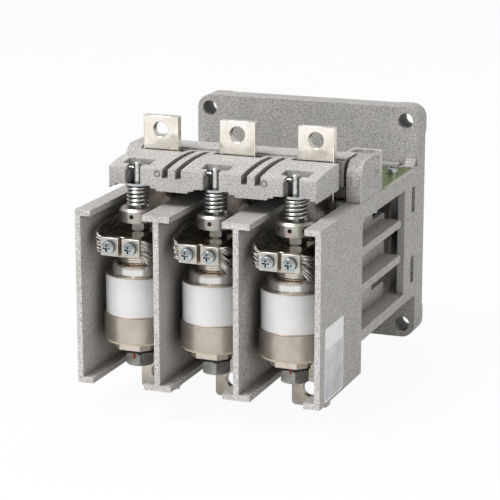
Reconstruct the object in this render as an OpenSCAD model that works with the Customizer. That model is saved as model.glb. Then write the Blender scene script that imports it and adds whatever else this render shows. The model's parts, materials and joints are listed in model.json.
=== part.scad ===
// Three-pole vacuum contactor of the open-frame kind, in the open position.
// X runs across the poles, Y from the front to the panel, Z up.
// The origin is the middle of the four mounting holes, on the panel's face.
// The modules measure Y from the front edges of the barriers and Z from their
// lower edges, and at_mount() moves each finished piece to the origin.

/* [Poles] */
// Distance between neighbouring pole axes
pole_pitch = 55; // [54:0.5:60]
// Depth of the pole axes behind the front edges of the barriers
pole_y = 35.5; // [34:0.5:38]
// Stroke of the moving contacts
contact_stroke = 2; // [1.5:0.1:2.3]
// Further travel of the rocker that loads the contact springs
overtravel = 1; // [0.6:0.1:1.3]

/* [Interrupters] */
// Diameter of the ceramic body
ceramic_d = 44.8; // [42:0.2:46]
// Height of the ceramic body
ceramic_h = 26.6; // [24:0.2:32]
// Wall of the ceramic body
ceramic_wall = 3.8; // [3:0.2:4.4]
// Height of the metal band below the ceramic body
band_h = 17; // [14:0.5:20]
// How far the metal band stands out past the ceramic body
band_proud = 1.2; // [0.6:0.1:1.4]
// Diameter of the dome on the ceramic body
dome_d = 36.2; // [34:0.2:38]
// Height of the dome
dome_h = 8.2; // [7:0.2:9]
// Diameter of the neck on the dome
neck_d = 24.6; // [22:0.2:26]
// Height of the neck
neck_h = 4.6; // [3:0.2:5]
// Wall of the metal cups
cup_wall = 1; // [0.8:0.1:1.2]
// Diameter of the contact stems
stem_d = 12; // [11:0.5:14]
// Diameter of the contacts
contact_d = 30; // [26:0.5:31]
// Thickness of each contact
contact_t = 4; // [3:0.5:4.5]
// Diameter of the arc shield
shield_d = 36; // [34:0.2:36.4]

/* [Terminals] */
// Width of the upper terminal bars
terminal_w = 25; // [22:0.5:27]
// Thickness of the upper terminal bars
terminal_t = 6; // [5:0.5:7]
// Height of the upper terminals above the barriers
terminal_rise = 50.6; // [48:0.5:60]
// Bore of every terminal hole
terminal_bore = 10.5; // [8.5:0.5:12]
// Distance from a bar's end to its hole
terminal_end = 9; // [8:0.5:12]
// Width of the lower terminal bars
lower_w = 26; // [24:0.5:28]
// Thickness of the lower terminal bars
lower_t = 5; // [4:0.5:6]
// How far the lower terminals reach below the barriers
lower_drop = 21; // [20:0.5:30]
// Height of the underside of the lower terminals above the barriers' lower edges
lower_z = 19.5; // [19:0.5:24]
// Diameter of the studs under the interrupters
stud_d = 12; // [10:1:12]
// Width of the nuts on those studs, across the flats
stud_nut_af = 18; // [17:0.5:19]

/* [Contact blocks and braids] */
// Width of the contact blocks
block_w = 22.4; // [20:0.4:24]
// Length of the contact blocks
block_len = 34; // [30:1:38]
// Height of the contact blocks
block_h = 13.7; // [12.5:0.1:16]
// Width of a braid's ferrule
ferrule_w = 12.7; // [11:0.1:13]
// Height of a braid's ferrule
ferrule_h = 12.3; // [11:0.1:12.5]
// Thickness of a braid's ferrule
ferrule_t = 5; // [4:0.5:6]
// Thickness of a braid
braid_t = 4.4; // [3:0.2:5]
// Diameter of the screws that hold the ferrules
clamp_screw_d = 5; // [4:0.5:5]

/* [Contact springs] */
// Outer diameter of the contact springs
spring_d = 15.8; // [14:0.2:17]
// Diameter of the spring wire
wire_d = 1.8; // [1.4:0.1:2]
// Length of the springs with the contacts open
spring_len = 14.9; // [14:0.1:20]
// Turns of the contact springs
spring_turns = 5; // [4:0.5:6]
// Diameter of the spring collars
collar_d = 25; // [22:0.5:27]
// Height of the spring collars
collar_h = 9; // [8:0.5:12]
// Diameter of the pull rods
rod_d = 6; // [5:0.5:7]
// Diameter of the cross pins
cross_pin_d = 2.5; // [2:0.1:3]

/* [Barriers] */
// Thickness of the barriers
barrier_t = 3.8; // [3:0.2:5]
// Depth of the barriers
barrier_d = 85; // [84:0.5:95]
// Thickness of the barriers' flanges
flange_t = 4; // [3:0.2:5]
// Width of the flanges between two poles
flange_w = 18.8; // [16:0.2:22]
// Thickness of the wall behind the poles
back_wall_t = 5.2; // [4:0.2:6]

/* [Base] */
// Length of the side rails from the barriers to the plate
rail_len = 126.4; // [125:0.5:150]
// Width of the side rails
rail_w = 13.2; // [12.6:0.2:14]
// Height of the top rails
rail_h = 12; // [11:0.5:14]
// Height of the bottom rails
low_rail_h = 7.5; // [6:0.5:9]
// Height of the bottom rails above the barriers' lower edges
low_rail_z = 22.1; // [18:0.1:24]
// Thickness of the shelf ribs
shelf_t = 5.5; // [4:0.5:6.5]
// Thickness of the inner side walls
inner_wall_t = 3.2; // [2.4:0.2:4]
// Height of the base plate
plate_h = 169.6; // [168:0.2:190]
// Thickness of the base plate
plate_t = 18.6; // [16:0.2:22]
// Corner radius of the base plate
plate_r = 10; // [6:0.5:12]
// Distance between the mounting holes, both ways
hole_pitch = 150; // [148:0.5:151]
// Diameter of the mounting holes
hole_d = 11; // [9:0.5:12]
// Width of the mounting pads
pad_w = 28; // [24:0.5:34]
// Thickness of the mounting pads
pad_t = 2.5; // [1:0.5:4]

/* [Rocker] */
// Front face of the rocker, behind the barriers' front edges
rocker_front = 26.7; // [25:0.1:28]
// Height of the rocker above the seats of the contact springs
rocker_rise = 14.8; // [14:0.2:18]
// Radius of the crown on the rocker's top
crown_r = 200; // [150:5:400]
// Width of the notches for the pull rods
notch_w = 9.8; // [9:0.2:11]
// Width of the pockets for the cross pins
pocket_w = 19; // [17:0.5:21]
// Width of the grooves between the poles
groove_w = 4.2; // [3:0.2:5]

/* [Bearings] */
// Distance of the hinge axis behind the barriers
hinge_back = 17; // [16.6:0.1:18]
// Height of the hinge axis above the top rails
hinge_up = 11.8; // [11:0.2:13]
// Diameter of the rocker's shaft
shaft_d = 10; // [8:0.5:10]
// Width of the bearing blocks
bearing_w = 10.4; // [9:0.2:11]
// Height of the bearing blocks
bearing_h = 27.8; // [26:0.2:32]

/* [Magnet] */
// Distance between the two cores
core_pitch = 66; // [64:0.5:68]
// Diameter of the cores
core_d = 26; // [22:0.5:28]
// Diameter of the coils
coil_d = 48; // [44:0.5:49]
// Height of the cores' axes above the barriers' lower edges
core_z = 88; // [85:0.5:88]
// Thickness of the armature
armature_t = 8; // [6:0.5:9]
// Width of the armature
armature_w = 104; // [96:1:110]
// Thickness of the yoke
yoke_t = 8; // [6:0.5:10]
// Thickness of the circuit board
board_t = 1.6; // [1.2:0.2:2.4]

/* [Hidden] */

$fn = 64;
// Gap round a thread or a pressed part, on the radius
fit_gap = 0.05;
// Gap round a bolt in its clearance hole, on the radius
bolt_gap = 0.25;
// A cut reaches this far past the face that it opens
past = 1;

// Heights of the stack on each pole's axis
ring_z = lower_z + lower_t;
ring_t = 1.7;
band_z = ring_z + ring_t;
ceramic_z = band_z + band_h;
dome_z = ceramic_z + ceramic_h;
neck_z = dome_z + dome_h;
neck_top = neck_z + neck_h;
block_gap = 0.4;
block_z = neck_top + contact_stroke + block_gap;
nut_z = block_z + block_h;
nut_h = 6.3;
nut_af = 13;
collar_z = nut_z + nut_h;
spring_z = collar_z + collar_h;
washer_t = 1.5;
seat_z = spring_z + spring_len + washer_t;
pin_floor = 8;
pin_z = seat_z + pin_floor + cross_pin_d / 2;
rod_top = pin_z + 4.2;
rod_foot = 3;
thread_d = 8;

// Barriers and base
skirt = 3;
barrier_h = seat_z - 13.2;
half_w = 1.5 * pole_pitch + barrier_t / 2;
plate_front = barrier_d + rail_len;
depth = plate_front + plate_t + pad_t;
mid_z = barrier_h - 43.2;
rail_z = barrier_h - rail_h;
rail_x = half_w - rail_w;
shelf_len = rail_len - 38.4;
shelf_z = [rail_z - 24.2, rail_z - 49.5];
column_len = 29.9;
column_t = 5;
inner_len = rail_len - 35.4;
window_len = 28;
board_z = barrier_h - 2.1;
board_y = barrier_d + 45;
board_back = plate_front - 6.9;
board_x = half_w - 2;
board_gap = 0.3;
// Two tongues of the board reach forward past the armature
tongue_x = [54, 63];
tongue_y = barrier_d + 14;
screw_hole_x = half_w - 10;
// Behind the bearing blocks the top rails are lower by this much
lip_drop = 1;
// Rear pockets of the base plate, between its ribs
rib_t = 3;
rear_pocket = 7;
// The label's place on the right outer wall, sunk by its depth
label_y = [9.5, 47.5];
label_z = [1.2, 51];
label_sunk = 0.3;

// Terminals and braids
bar_back = barrier_d - back_wall_t;
bar_front = bar_back - terminal_t;
leg_back = bar_back - 8.8;
leg_front = pole_y - 18;
block_y = pole_y - 25.5;
clamp_x = block_w / 2 - ferrule_w / 2 + 2.7;
clamp_z = block_z + 7.85;
ferrule_front = block_y - ferrule_t;
bar_top = barrier_h + terminal_rise;
bar_foot = clamp_z - ferrule_h / 2 - 2.8;

// Rocker and drive
hinge_y = barrier_d + hinge_back;
hinge_z = barrier_h + hinge_up;
rocker_top = seat_z + rocker_rise;
rocker_half = half_w - bearing_w - 2.2;
rocker_back = hinge_y + 6;
crown_y = rocker_front + 0.575 * (hinge_y - 14 - rocker_front);
mouth_r = 2;
swing = asin((contact_stroke + overtravel) / (hinge_y - pole_y));
armature_y = hinge_y + 7.5;
armature_top = hinge_z + 14;
armature_foot = core_z - 26;
core_face = armature_y + armature_t + 0.15;
yoke_back = plate_front - 8;
yoke_y = yoke_back - yoke_t;
shoe_t = 4;
bobbin_y = core_face + shoe_t + 0.4;
bobbin_len = yoke_y - bobbin_y - 0.3;
flange_d = coil_d + 1.6;
post_d = 13;
post_face = armature_y + armature_t + 32;
pocket_y = hinge_y + 8.5;
pocket_len = 13.5;
bearing_len = 30.5;
block_back = bearing_len + 16.5;
bush_wall = 2;
clamp_head_d = 8.4;
// Places of the screws between the barriers and the rails
rail_screw_x = half_w - 11;

function at_x(n) = (n - 2) * pole_pitch;

module at_mount() translate([0, -depth, -mid_z]) children();
module at_pole(n) translate([at_x(n), pole_y, 0]) children();
module poles() for (n = [1 : 3]) at_pole(n) children();
module both_sides() for (side = [0, 1]) mirror([side, 0, 0]) children();
module along_x(x, y, z) translate([x, y, z]) rotate([0, 90, 0]) children();
module facing_front(x, y, z) translate([x, y, z]) rotate([90, 0, 0]) children();
module box(x0, x1, y0, y1, z0, z1)
    translate([x0, y0, z0]) cube([x1 - x0, y1 - y0, z1 - z0]);
// The armature and its seat are drawn closed and swung back to the open position
module swung_open()
    translate([0, hinge_y, hinge_z]) rotate([-swing, 0, 0]) translate([0, -hinge_y, -hinge_z])
        children();

// An outline with rounded corners, made of two bars and four discs
module rounded(w, h, r) {
    square([w, h - 2 * r], center = true);
    square([w - 2 * r, h], center = true);
    for (x = [-1, 1], y = [-1, 1])
        translate([x * (w / 2 - r), y * (h / 2 - r)]) circle(r);
}

module ring(d, bore, h) difference() {
    cylinder(d = d, h = h);
    translate([0, 0, -past]) cylinder(d = bore, h = h + 2 * past);
}

module hexagon(af, h) cylinder(d = af / cos(30), h = h, $fn = 6);

module hex_nut(af, h, bore) difference() {
    intersection() {
        hexagon(af, h);
        // Both ends are turned to a chamfer
        translate([0, 0, -past])
            cylinder(d1 = af - 2 * past, d2 = af + 2 * h, h = h + past);
        cylinder(d1 = af + 2 * h, d2 = af, h = h);
    }
    translate([0, 0, -past]) cylinder(d = bore, h = h + 2 * past);
}

// Pan head with a cross recess, its shank along -Z, the head's seat at zero
module pan_screw(d, head_d, head_h, length) {
    difference() {
        intersection() {
            cylinder(d = head_d, h = head_h);
            translate([0, 0, head_h - head_d * 0.9]) sphere(d = head_d * 1.8);
        }
        for (turn = [0, 90]) rotate([0, 0, turn])
            translate([-head_d * 0.29, -head_d * 0.075, head_h - 1.8])
                cube([head_d * 0.58, head_d * 0.15, 2]);
    }
    translate([0, 0, -length]) cylinder(d = d, h = length);
}

// Pan head screw on a flat washer and a spring washer
module washered_screw(d, head_d, head_h, washer_d, length) {
    ring(washer_d, d + 2 * bolt_gap, 0.8);
    translate([0, 0, 0.8]) ring(head_d - 0.5, d + 2 * bolt_gap, 1);
    translate([0, 0, 1.8]) pan_screw(d, head_d, head_h, length + 1.8);
}

// What is cut off to round an edge that runs along Z, on the side of +X and +Y
module round_edge(r, h) difference() {
    translate([-past, -past, 0]) cube([r + past, r + past, h]);
    translate([r, r, -past]) cylinder(r = r, h = h + 2 * past);
}

// A wire wound round Z, from z = 0 to the given height
function wire_ring(p, a, rise, r, sides) = [for (s = [0 : sides - 1])
    let (b = s * 360 / sides)
    [p[0] + r * cos(b) * cos(a), p[1] + r * cos(b) * sin(a), p[2] + r * sin(b)]];
module coil_spring(d, wire, height, turns, steps = 14, sides = 6) {
    r = (d - wire) / 2;
    rings = round(turns * steps);
    climb = height - wire;
    // The first and the last turn lie nearly flat
    function lift(t) = let (u = t * turns, lead = 0.8, free = turns - 2 * lead)
        u < lead ? u * wire * 0.9
        : u > turns - lead ? climb - (turns - u) * wire * 0.9
        : lead * wire * 0.9 + (u - lead) / free * (climb - 2 * lead * wire * 0.9);
    points = [for (i = [0 : rings]) let (t = i / rings, a = 360 * turns * t)
        each wire_ring([r * cos(a), r * sin(a), wire / 2 + lift(t)], a, 0, wire / 2, sides)];
    walls = [for (i = [0 : rings - 1], s = [0 : sides - 1])
        let (n = (s + 1) % sides, k = i * sides, m = k + sides)
        each [[k + s, m + s, m + n], [k + s, m + n, k + n]]];
    first = [for (s = [0 : sides - 1]) s];
    last = [for (s = [sides - 1 : -1 : 0]) rings * sides + s];
    polyhedron(points, concat(walls, [first, last]), convexity = 10);
}

// A flat braid that leaves one ferrule sideways and curls round to the other
function braid_path(t, y0, y1, x0, reach) =
    [x0 + reach * pow(sin(180 * t), 0.5), (y0 + y1) / 2 - (y1 - y0) / 2 * cos(180 * t)];
module braid(y0, y1, x0, reach, z, rings = 20, sides = 8) {
    function at(i) = braid_path(i / rings, y0, y1, x0, reach);
    function heading(i) = i == 0 ? 0 : i == rings ? 180
        : let (a = at(i - 1), b = at(i + 1)) atan2(b[1] - a[1], b[0] - a[0]);
    points = [for (i = [0 : rings]) let (p = at(i), h = heading(i))
        each [for (s = [0 : sides - 1]) let (b = s * 360 / sides + 22.5)
            [p[0] + sin(h) * braid_t / 2 * cos(b), p[1] - cos(h) * braid_t / 2 * cos(b),
             z + (ferrule_h / 2 - 0.6) * sin(b)]]];
    walls = [for (i = [0 : rings - 1], s = [0 : sides - 1])
        let (n = (s + 1) % sides, k = i * sides, m = k + sides)
        each [[k + s, m + s, m + n], [k + s, m + n, k + n]]];
    first = [for (s = [0 : sides - 1]) s];
    last = [for (s = [sides - 1 : -1 : 0]) rings * sides + s];
    polyhedron(points, concat(walls, [first, last]), convexity = 6);
}

module base_frame() color("#aaa7a2") at_mount() difference() {
    union() {
        // Back plate with its four pads
        translate([0, plate_front + plate_t, mid_z]) rotate([90, 0, 0])
            linear_extrude(plate_t) rounded(2 * half_w, plate_h, plate_r);
        for (x = [-1, 1], z = [-1, 1])
            translate([x * (half_w - pad_w / 2), depth, mid_z + z * (plate_h - pad_w) / 2])
                rotate([90, 0, 0]) linear_extrude(pad_t + past) rounded(pad_w, pad_w, plate_r);
        both_sides() side_frame();
        // Ledge behind the circuit board, and bosses behind the yoke
        box(-rail_x - past, rail_x + past, board_back, plate_front + past, board_z - 6,
            board_z + 3.5);
        for (x = [-1, 1]) facing_front(x * core_pitch / 2, plate_front + past, core_z)
            cylinder(d = 30, h = plate_front - yoke_back + past);
    }
    for (x = [-1, 1], z = [-1, 1])
        facing_front(x * hole_pitch / 2, depth + past, mid_z + z * hole_pitch / 2)
            cylinder(d = hole_d, h = plate_t + pad_t + 2 * past);
    // Counterbored holes for the magnet's screws
    for (x = [-1, 1]) {
        facing_front(x * core_pitch / 2, depth, core_z)
            cylinder(d = 6 + 2 * bolt_gap, h = depth - yoke_back + past);
        facing_front(x * core_pitch / 2, depth, core_z)
            cylinder(d = 12, h = pad_t + 8);
    }
    rear_pockets();
    // Seat of the circuit board, and the holes for the screws in the rails
    box(-board_x - board_gap, board_x + board_gap, board_y - 2, board_back, board_z,
        barrier_h + past);
    box(-half_w - past, half_w + past, barrier_d - 5 + block_back + board_gap, board_back,
        barrier_h - lip_drop, barrier_h + past);
    both_sides() {
        for (y = board_screw_y()) translate([screw_hole_x, y, board_z - 8])
            cylinder(d = 4 + 2 * fit_gap, h = 8 + past);
        for (y = bearing_screw_y()) translate([bearing_screw_x(), y, rail_z - past])
            cylinder(d = 5 + 2 * bolt_gap, h = rail_h + 2 * past);
        for (z = rail_screw_z()) facing_front(rail_screw_x, barrier_d + 15, z)
            cylinder(d = 5 + 2 * fit_gap, h = 15 + past);
    }
}

// Open pockets in the plate's back, between its rim, its ribs, the pads and the bosses
module rear_pockets() translate([0, plate_front + plate_t + past, mid_z]) rotate([90, 0, 0])
    linear_extrude(rear_pocket + past) difference() {
        union() {
            square([2 * (half_w - pad_w - rib_t), plate_h - 4 * rib_t], center = true);
            square([2 * half_w - 4 * rib_t, plate_h - 2 * (pad_w + rib_t)], center = true);
        }
        for (x = [-1, 1]) {
            translate([x * half_w * 0.22, 0]) square([rib_t, plate_h], center = true);
            translate([x * (half_w - pad_w - rib_t / 2), 0]) square([rib_t, plate_h], center = true);
            translate([x * core_pitch / 2, core_z - mid_z]) circle(10);
        }
        for (z = [-1 : 1]) translate([0, z * plate_h * 0.24])
            square([2 * half_w, rib_t], center = true);
    }

function board_screw_y() = [board_y + 6, board_back - 22.5];
function bearing_screw_x() = half_w - 4.9;
function bearing_screw_y() = [barrier_d + 4.5, barrier_d + 32.5];
function rail_screw_z() = [low_rail_z + low_rail_h / 2, barrier_h - flange_t - 4.6];

// The right side: rails, shelves with rounded ends, inner wall and slotted column
module side_frame() difference() {
    union() {
        box(rail_x, half_w, barrier_d, plate_front + past, rail_z, barrier_h);
        box(rail_x, half_w, barrier_d, plate_front + past, low_rail_z, low_rail_z + low_rail_h);
        for (z = shelf_z) {
            box(rail_x - past, half_w, barrier_d, barrier_d + shelf_len - shelf_t / 2, z, z + shelf_t);
            along_x(rail_x - past, barrier_d + shelf_len - shelf_t / 2, z + shelf_t / 2)
                cylinder(d = shelf_t, h = rail_w + past);
        }
        box(rail_x - inner_wall_t, rail_x, barrier_d, barrier_d + inner_len, low_rail_z, barrier_h);
        box(half_w - column_t, half_w, plate_front - column_len, plate_front + past,
            low_rail_z, barrier_h);
        box(rail_x - inner_wall_t, rail_x - inner_wall_t + 2, plate_front - 14,
            plate_front + past, low_rail_z, rail_z + past);
        // Gusset between the top rail and the plate
        translate([half_w - 8, plate_front, barrier_h]) rotate([90, 0, 90])
            linear_extrude(6.8) polygon([[past, 9], [0, 9], [-0.9, 4.8], [-6.9, 0.4],
                [-6.9, -3], [past, -3]]);
        // Fillet under the bottom rail
        difference() {
            box(rail_x, half_w, plate_front - 6, plate_front + past, low_rail_z - 6,
                low_rail_z + past);
            along_x(rail_x - past, plate_front - 6, low_rail_z - 6)
                cylinder(r = 6, h = rail_w + 2 * past);
        }
    }
    // Windows in the inner wall, above the upper shelf and above the bottom rail
    for (low = [[shelf_z[0] + shelf_t + 3.5, rail_z], [low_rail_z + low_rail_h + 10.4, shelf_z[1]]])
        box(rail_x - inner_wall_t - past, rail_x + past, barrier_d + inner_len - window_len,
            barrier_d + inner_len + past, low[0], low[1]);
    for (z = [shelf_z[0] + shelf_t + 3.5, low_rail_z + low_rail_h + 10.4])
        translate([rail_x + past, barrier_d + inner_len, z]) rotate([0, -90, 0])
            mirror([1, 0, 0]) mirror([0, 1, 0]) round_edge(3, inner_wall_t + 2 * past);
    // Slots in the column
    for (z = [[shelf_z[0] + 4.5, rail_z - 1.6], [low_rail_z + 11.4, shelf_z[1] - 3]])
        box(half_w - column_t - past, half_w + past, plate_front - 12.9, plate_front - 4.9,
            z[0], z[1]);
}

module pole_frame() color("#b3b0aa") at_mount() difference() {
    union() {
        for (n = [0 : 3]) translate([(n - 1.5) * pole_pitch, 0, 0])
            box(-barrier_t / 2, barrier_t / 2, 0, barrier_d, 0, barrier_h);
        for (z = [0, barrier_h - flange_t]) {
            for (n = [1, 2]) translate([(n - 1.5) * pole_pitch, 0, 0])
                box(-flange_w / 2, flange_w / 2, 0, barrier_d, z, z + flange_t);
            both_sides() box(half_w - flange_w / 2 - barrier_t / 2 + 0.3, half_w, 0, barrier_d,
                z, z + flange_t);
        }
        box(-half_w, half_w, bar_back, barrier_d, 0, barrier_h);
        // Ribs behind the lower terminals hold the bars off the wall
        for (n = [1 : 3], x = [-8, 8]) translate([at_x(n) + x, 0, 0])
            box(-2, 2, leg_back, bar_back + past, 0, lower_z - 2);
        // Posts of the rubber stops
        for (x = [-1, 1]) facing_front(x * stop_x, stop_face(), stop_z)
            cylinder(d = 12, h = stop_face() - bar_back - past);
    }
    both_sides() {
        for (z = rail_screw_z()) facing_front(rail_screw_x, barrier_d + past, z)
            cylinder(d = 5 + 2 * bolt_gap, h = back_wall_t + 2 * past);
    }
    box(half_w - label_sunk, half_w + past, label_y[0], label_y[1], label_z[0], label_z[1]);
    translate([foot_screw_x, foot_screw_y, -past]) cylinder(d = 3 + 2 * fit_gap, h = past + 3.2);
    for (n = [1 : 3], x = [-1, 1]) facing_front(at_x(n) + x * clamp_x, barrier_d + past, clamp_z)
        cylinder(d = clamp_screw_d + 2 * fit_gap, h = back_wall_t + 2 * past);
}

// Small screw under the second barrier
foot_screw_x = -pole_pitch / 2 + flange_w / 2 - 2.6;
foot_screw_y = 15;
stop_x = 42;
stop_z = armature_foot + 7;
stop_t = 5;
// The armature's open face, at its foot, touches the stops
function open_face() = hinge_y + (armature_y - hinge_y) * cos(swing)
    - (hinge_z - armature_foot) * sin(swing) - 0.1;
function stop_face() = open_face() - stop_t;

module stop_buffers() color("#2b2b2b") at_mount()
    for (x = [-1, 1]) facing_front(x * stop_x, open_face(), stop_z) cylinder(d = 12, h = stop_t);

module barrier_screws() color("silver") at_mount() {
    both_sides() for (z = rail_screw_z()) facing_front(rail_screw_x, bar_back, z)
        pan_screw(5, low_rail_h + 1, 3, back_wall_t + 12);
    translate([foot_screw_x, foot_screw_y, 0]) rotate([180, 0, 0]) pan_screw(3, 5.6, 2.3, 3);
}

module bearing_screws() color("silver") at_mount() both_sides()
    for (y = bearing_screw_y()) translate([bearing_screw_x(), y, rail_z]) rotate([180, 0, 0])
        pan_screw(5, 8.6, 3, rail_h + 7);

module board_screws() color("silver") at_mount() both_sides()
    for (y = board_screw_y()) translate([screw_hole_x, y, board_z + board_t])
        washered_screw(4, 7.6, 3, 9.2, board_t + 6.5);

module magnet_screws() color("silver") at_mount()
    for (x = [-1, 1]) translate([x * core_pitch / 2, depth - pad_t - 8, core_z])
        rotate([-90, 0, 0]) difference() {
            union() {
                cylinder(d = 10, h = 6);
                translate([0, 0, yoke_y - 9 - (depth - pad_t - 8)])
                    cylinder(d = 6, h = depth - pad_t - 8 - yoke_y + 9);
            }
            translate([0, 0, 3]) hexagon(5, 4);
        }

// Bearing block of the right side
module bearing_block() difference() {
    union() {
        intersection() {
            box(half_w - bearing_w, half_w, barrier_d - 5, pocket_y + past, barrier_h,
                barrier_h + bearing_h);
            // The front rises straight and turns over in a quarter round
            union() {
                box(0, half_w + past, barrier_d - 5 + 11, pocket_y + 2 * past, barrier_h,
                    barrier_h + bearing_h);
                box(0, half_w + past, barrier_d - 5, pocket_y, barrier_h,
                    barrier_h + bearing_h - 11);
                along_x(0, barrier_d - 5 + 11, barrier_h + bearing_h - 11)
                    cylinder(r = 11, h = half_w + past);
            }
        }
        box(half_w - 20.9, half_w, pocket_y - 1.1, barrier_d - 5 + block_back, barrier_h,
            barrier_h + bearing_h);
    }
    // Pocket behind the block, open to the top and to the outside
    box(half_w - 18.4, half_w + past, pocket_y, pocket_y + pocket_len, barrier_h + 11.4,
        barrier_h + bearing_h + past);
    along_x(half_w - bearing_w - past, hinge_y, hinge_z)
        cylinder(d = shaft_d + 2 * bush_wall + 2 * fit_gap, h = bearing_w - 2 + past);
    for (y = bearing_screw_y()) translate([bearing_screw_x(), y, barrier_h - past])
        cylinder(d = 5 + 2 * fit_gap, h = 9);
    // Relief at the foot
    box(half_w - 0.8, half_w + past, barrier_d + 12, barrier_d + 14, barrier_h - past,
        barrier_h + 4);
}

module bearing_block_left() color("#aaa7a2") at_mount() mirror([1, 0, 0]) bearing_block();
module bearing_block_right() color("#aaa7a2") at_mount() bearing_block();

// The bushes stand in past the blocks and keep the rocker off them
module bearing_bushes() color("#d8c28a") at_mount() both_sides() difference() {
    along_x(half_w - bearing_w - 1.2, hinge_y, hinge_z)
        cylinder(d = shaft_d + 2 * bush_wall, h = bearing_w - 1.2);
    along_x(half_w - bearing_w - 1.2 - past, hinge_y, hinge_z)
        cylinder(d = shaft_d + 2 * fit_gap, h = bearing_w + 2 * past);
}

// Bent bar: a leg under the interrupter and a tail that hangs down behind it
module lower_terminal(n) color("#d9cfbf") at_mount() translate([at_x(n), 0, 0]) difference() {
    union() {
        box(-lower_w / 2, lower_w / 2, leg_front, leg_back - lower_t, lower_z, lower_z + lower_t);
        intersection() {
            box(-lower_w / 2, lower_w / 2, leg_back - lower_t - past, leg_back, 0,
                lower_z + lower_t);
            union() {
                along_x(-lower_w, leg_back - lower_t, lower_z) cylinder(r = lower_t, h = 2 * lower_w);
                box(-lower_w, lower_w, leg_back - lower_t - past, leg_back, -past, lower_z);
            }
        }
        translate([0, leg_back, 0]) rotate([90, 0, 0]) linear_extrude(lower_t) {
            translate([0, (lower_z - lower_drop) / 2])
                rounded(lower_w, lower_z + lower_drop, 3);
            translate([-lower_w / 2, 0]) square([lower_w, lower_z]);
        }
    }
    // The leg's front corners are cut off
    for (side = [-1, 1]) translate([side * lower_w / 2, leg_front, lower_z + lower_t / 2])
        rotate([0, 0, 45]) cube([8, 8, lower_t + 2 * past], center = true);
    translate([0, pole_y, lower_z - past])
        cylinder(d = stud_d + 2 * bolt_gap, h = lower_t + 2 * past);
    facing_front(0, leg_back + past, terminal_end + 3 - lower_drop)
        cylinder(d = terminal_bore, h = lower_t + 2 * past);
}

module upper_terminal(n) color("#d9cfbf") at_mount() translate([at_x(n), 0, 0]) difference() {
    box(-terminal_w / 2, terminal_w / 2, bar_front, bar_back, bar_foot, bar_top);
    facing_front(0, bar_back + past, bar_top - terminal_end)
        cylinder(d = terminal_bore, h = terminal_t + 2 * past);
    for (x = [-1, 1]) facing_front(x * clamp_x, bar_back + past, clamp_z)
        cylinder(d = clamp_screw_d + 2 * bolt_gap, h = terminal_t + 2 * past);
}

module lower_cups() color("#a39b94") at_mount() poles() rotate_extrude() {
    r = ceramic_d / 2 + band_proud;
    bore = stem_d / 2 + 2 + fit_gap;
    top = ceramic_z - 0.3;
    translate([r - 1.2, band_z]) square([1.2, top - band_z]);
    translate([bore, band_z]) square([r - bore, 1.5]);
    translate([contact_d / 2 + 1, top - 1.2]) square([r - contact_d / 2 - 1.2, 1.2]);
    // Braze ring under the ceramic body
    translate([ceramic_d / 2 - ceramic_wall, top]) square([ceramic_wall + 0.2, 0.3]);
}

module ceramics() color("#f2f2f0") at_mount() poles() translate([0, 0, ceramic_z])
    rotate_extrude() difference() {
        union() {
            translate([ceramic_d / 2 - ceramic_wall, 0]) square([ceramic_wall - 0.5, ceramic_h]);
            translate([ceramic_d / 2 - 1, 0.5]) square([1, ceramic_h - 1]);
            for (y = [0.5, ceramic_h - 0.5]) translate([ceramic_d / 2 - 0.5, y]) circle(0.5, $fn = 24);
        }
    }

// Thin cap: a braze flange, a dome with a rounded shoulder and a neck
module upper_cups() color("#b9afa6") at_mount() poles() translate([0, 0, dome_z])
    rotate_extrude() difference() {
        union() {
            square([ceramic_d / 2 - 0.3, 0.6]);
            dome_outline(dome_d / 2, dome_h, 4);
            square([neck_d / 2, dome_h + neck_h]);
            // Rolled foot of the neck
            translate([neck_d / 2, dome_h]) circle(0.9, $fn = 24);
        }
        translate([-past, -past]) square([dome_d / 2 - cup_wall - 1 + past, 1.6 + past]);
        dome_outline(dome_d / 2 - cup_wall, dome_h - cup_wall, 4 - cup_wall);
        translate([-past, 0])
            square([neck_d / 2 - cup_wall + past, dome_h + neck_h - cup_wall]);
        translate([-past, 0]) square([stem_d / 2 + 0.4 + past, dome_h + neck_h + past]);
    }
module dome_outline(r, h, round_r) {
    square([r, h - round_r]);
    square([r - round_r, h]);
    translate([r - round_r, h - round_r]) circle(round_r, $fn = 32);
}

// Heights inside the interrupters: the fixed contact's face and the gap above it
fixed_face = ceramic_z + 7.8;
moving_face = fixed_face + contact_stroke + 0.05;

module fixed_stems() color("#b8754b") at_mount() poles() {
    translate([0, 0, fixed_face - contact_t]) cylinder(d = contact_d, h = contact_t);
    translate([0, 0, band_z]) cylinder(d = stem_d + 4, h = fixed_face - contact_t - band_z);
    translate([0, 0, lower_z - 12.6]) cylinder(d = stud_d, h = band_z - lower_z + 12.6);
}

module arc_shields() color("#8d8a86") at_mount() poles() translate([0, 0, ceramic_z - 0.3])
    ring(shield_d, shield_d - 1.6, ceramic_h - 4);

// Folded tube from the dome down to the collar of the moving stem
bellows_top = neck_z - cup_wall;
bellows_h = bellows_top - moving_face - contact_t - 1.5;
module bellows() color("#c3c0ba") at_mount() poles()
    translate([0, 0, bellows_top - bellows_h]) rotate_extrude() {
        folds = 6;
        pitch = bellows_h / folds;
        inner = stem_d / 2 + 1;
        outer = stem_d / 2 + 4;
        outline = [for (i = [0 : 2 * folds])
            [i % 2 == 0 ? inner : outer, min(max(i * pitch / 2, 0), bellows_h)]];
        polygon(concat(outline, [for (i = [2 * folds : -1 : 0]) outline[i] + [0.5, 0]]));
    }

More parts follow.
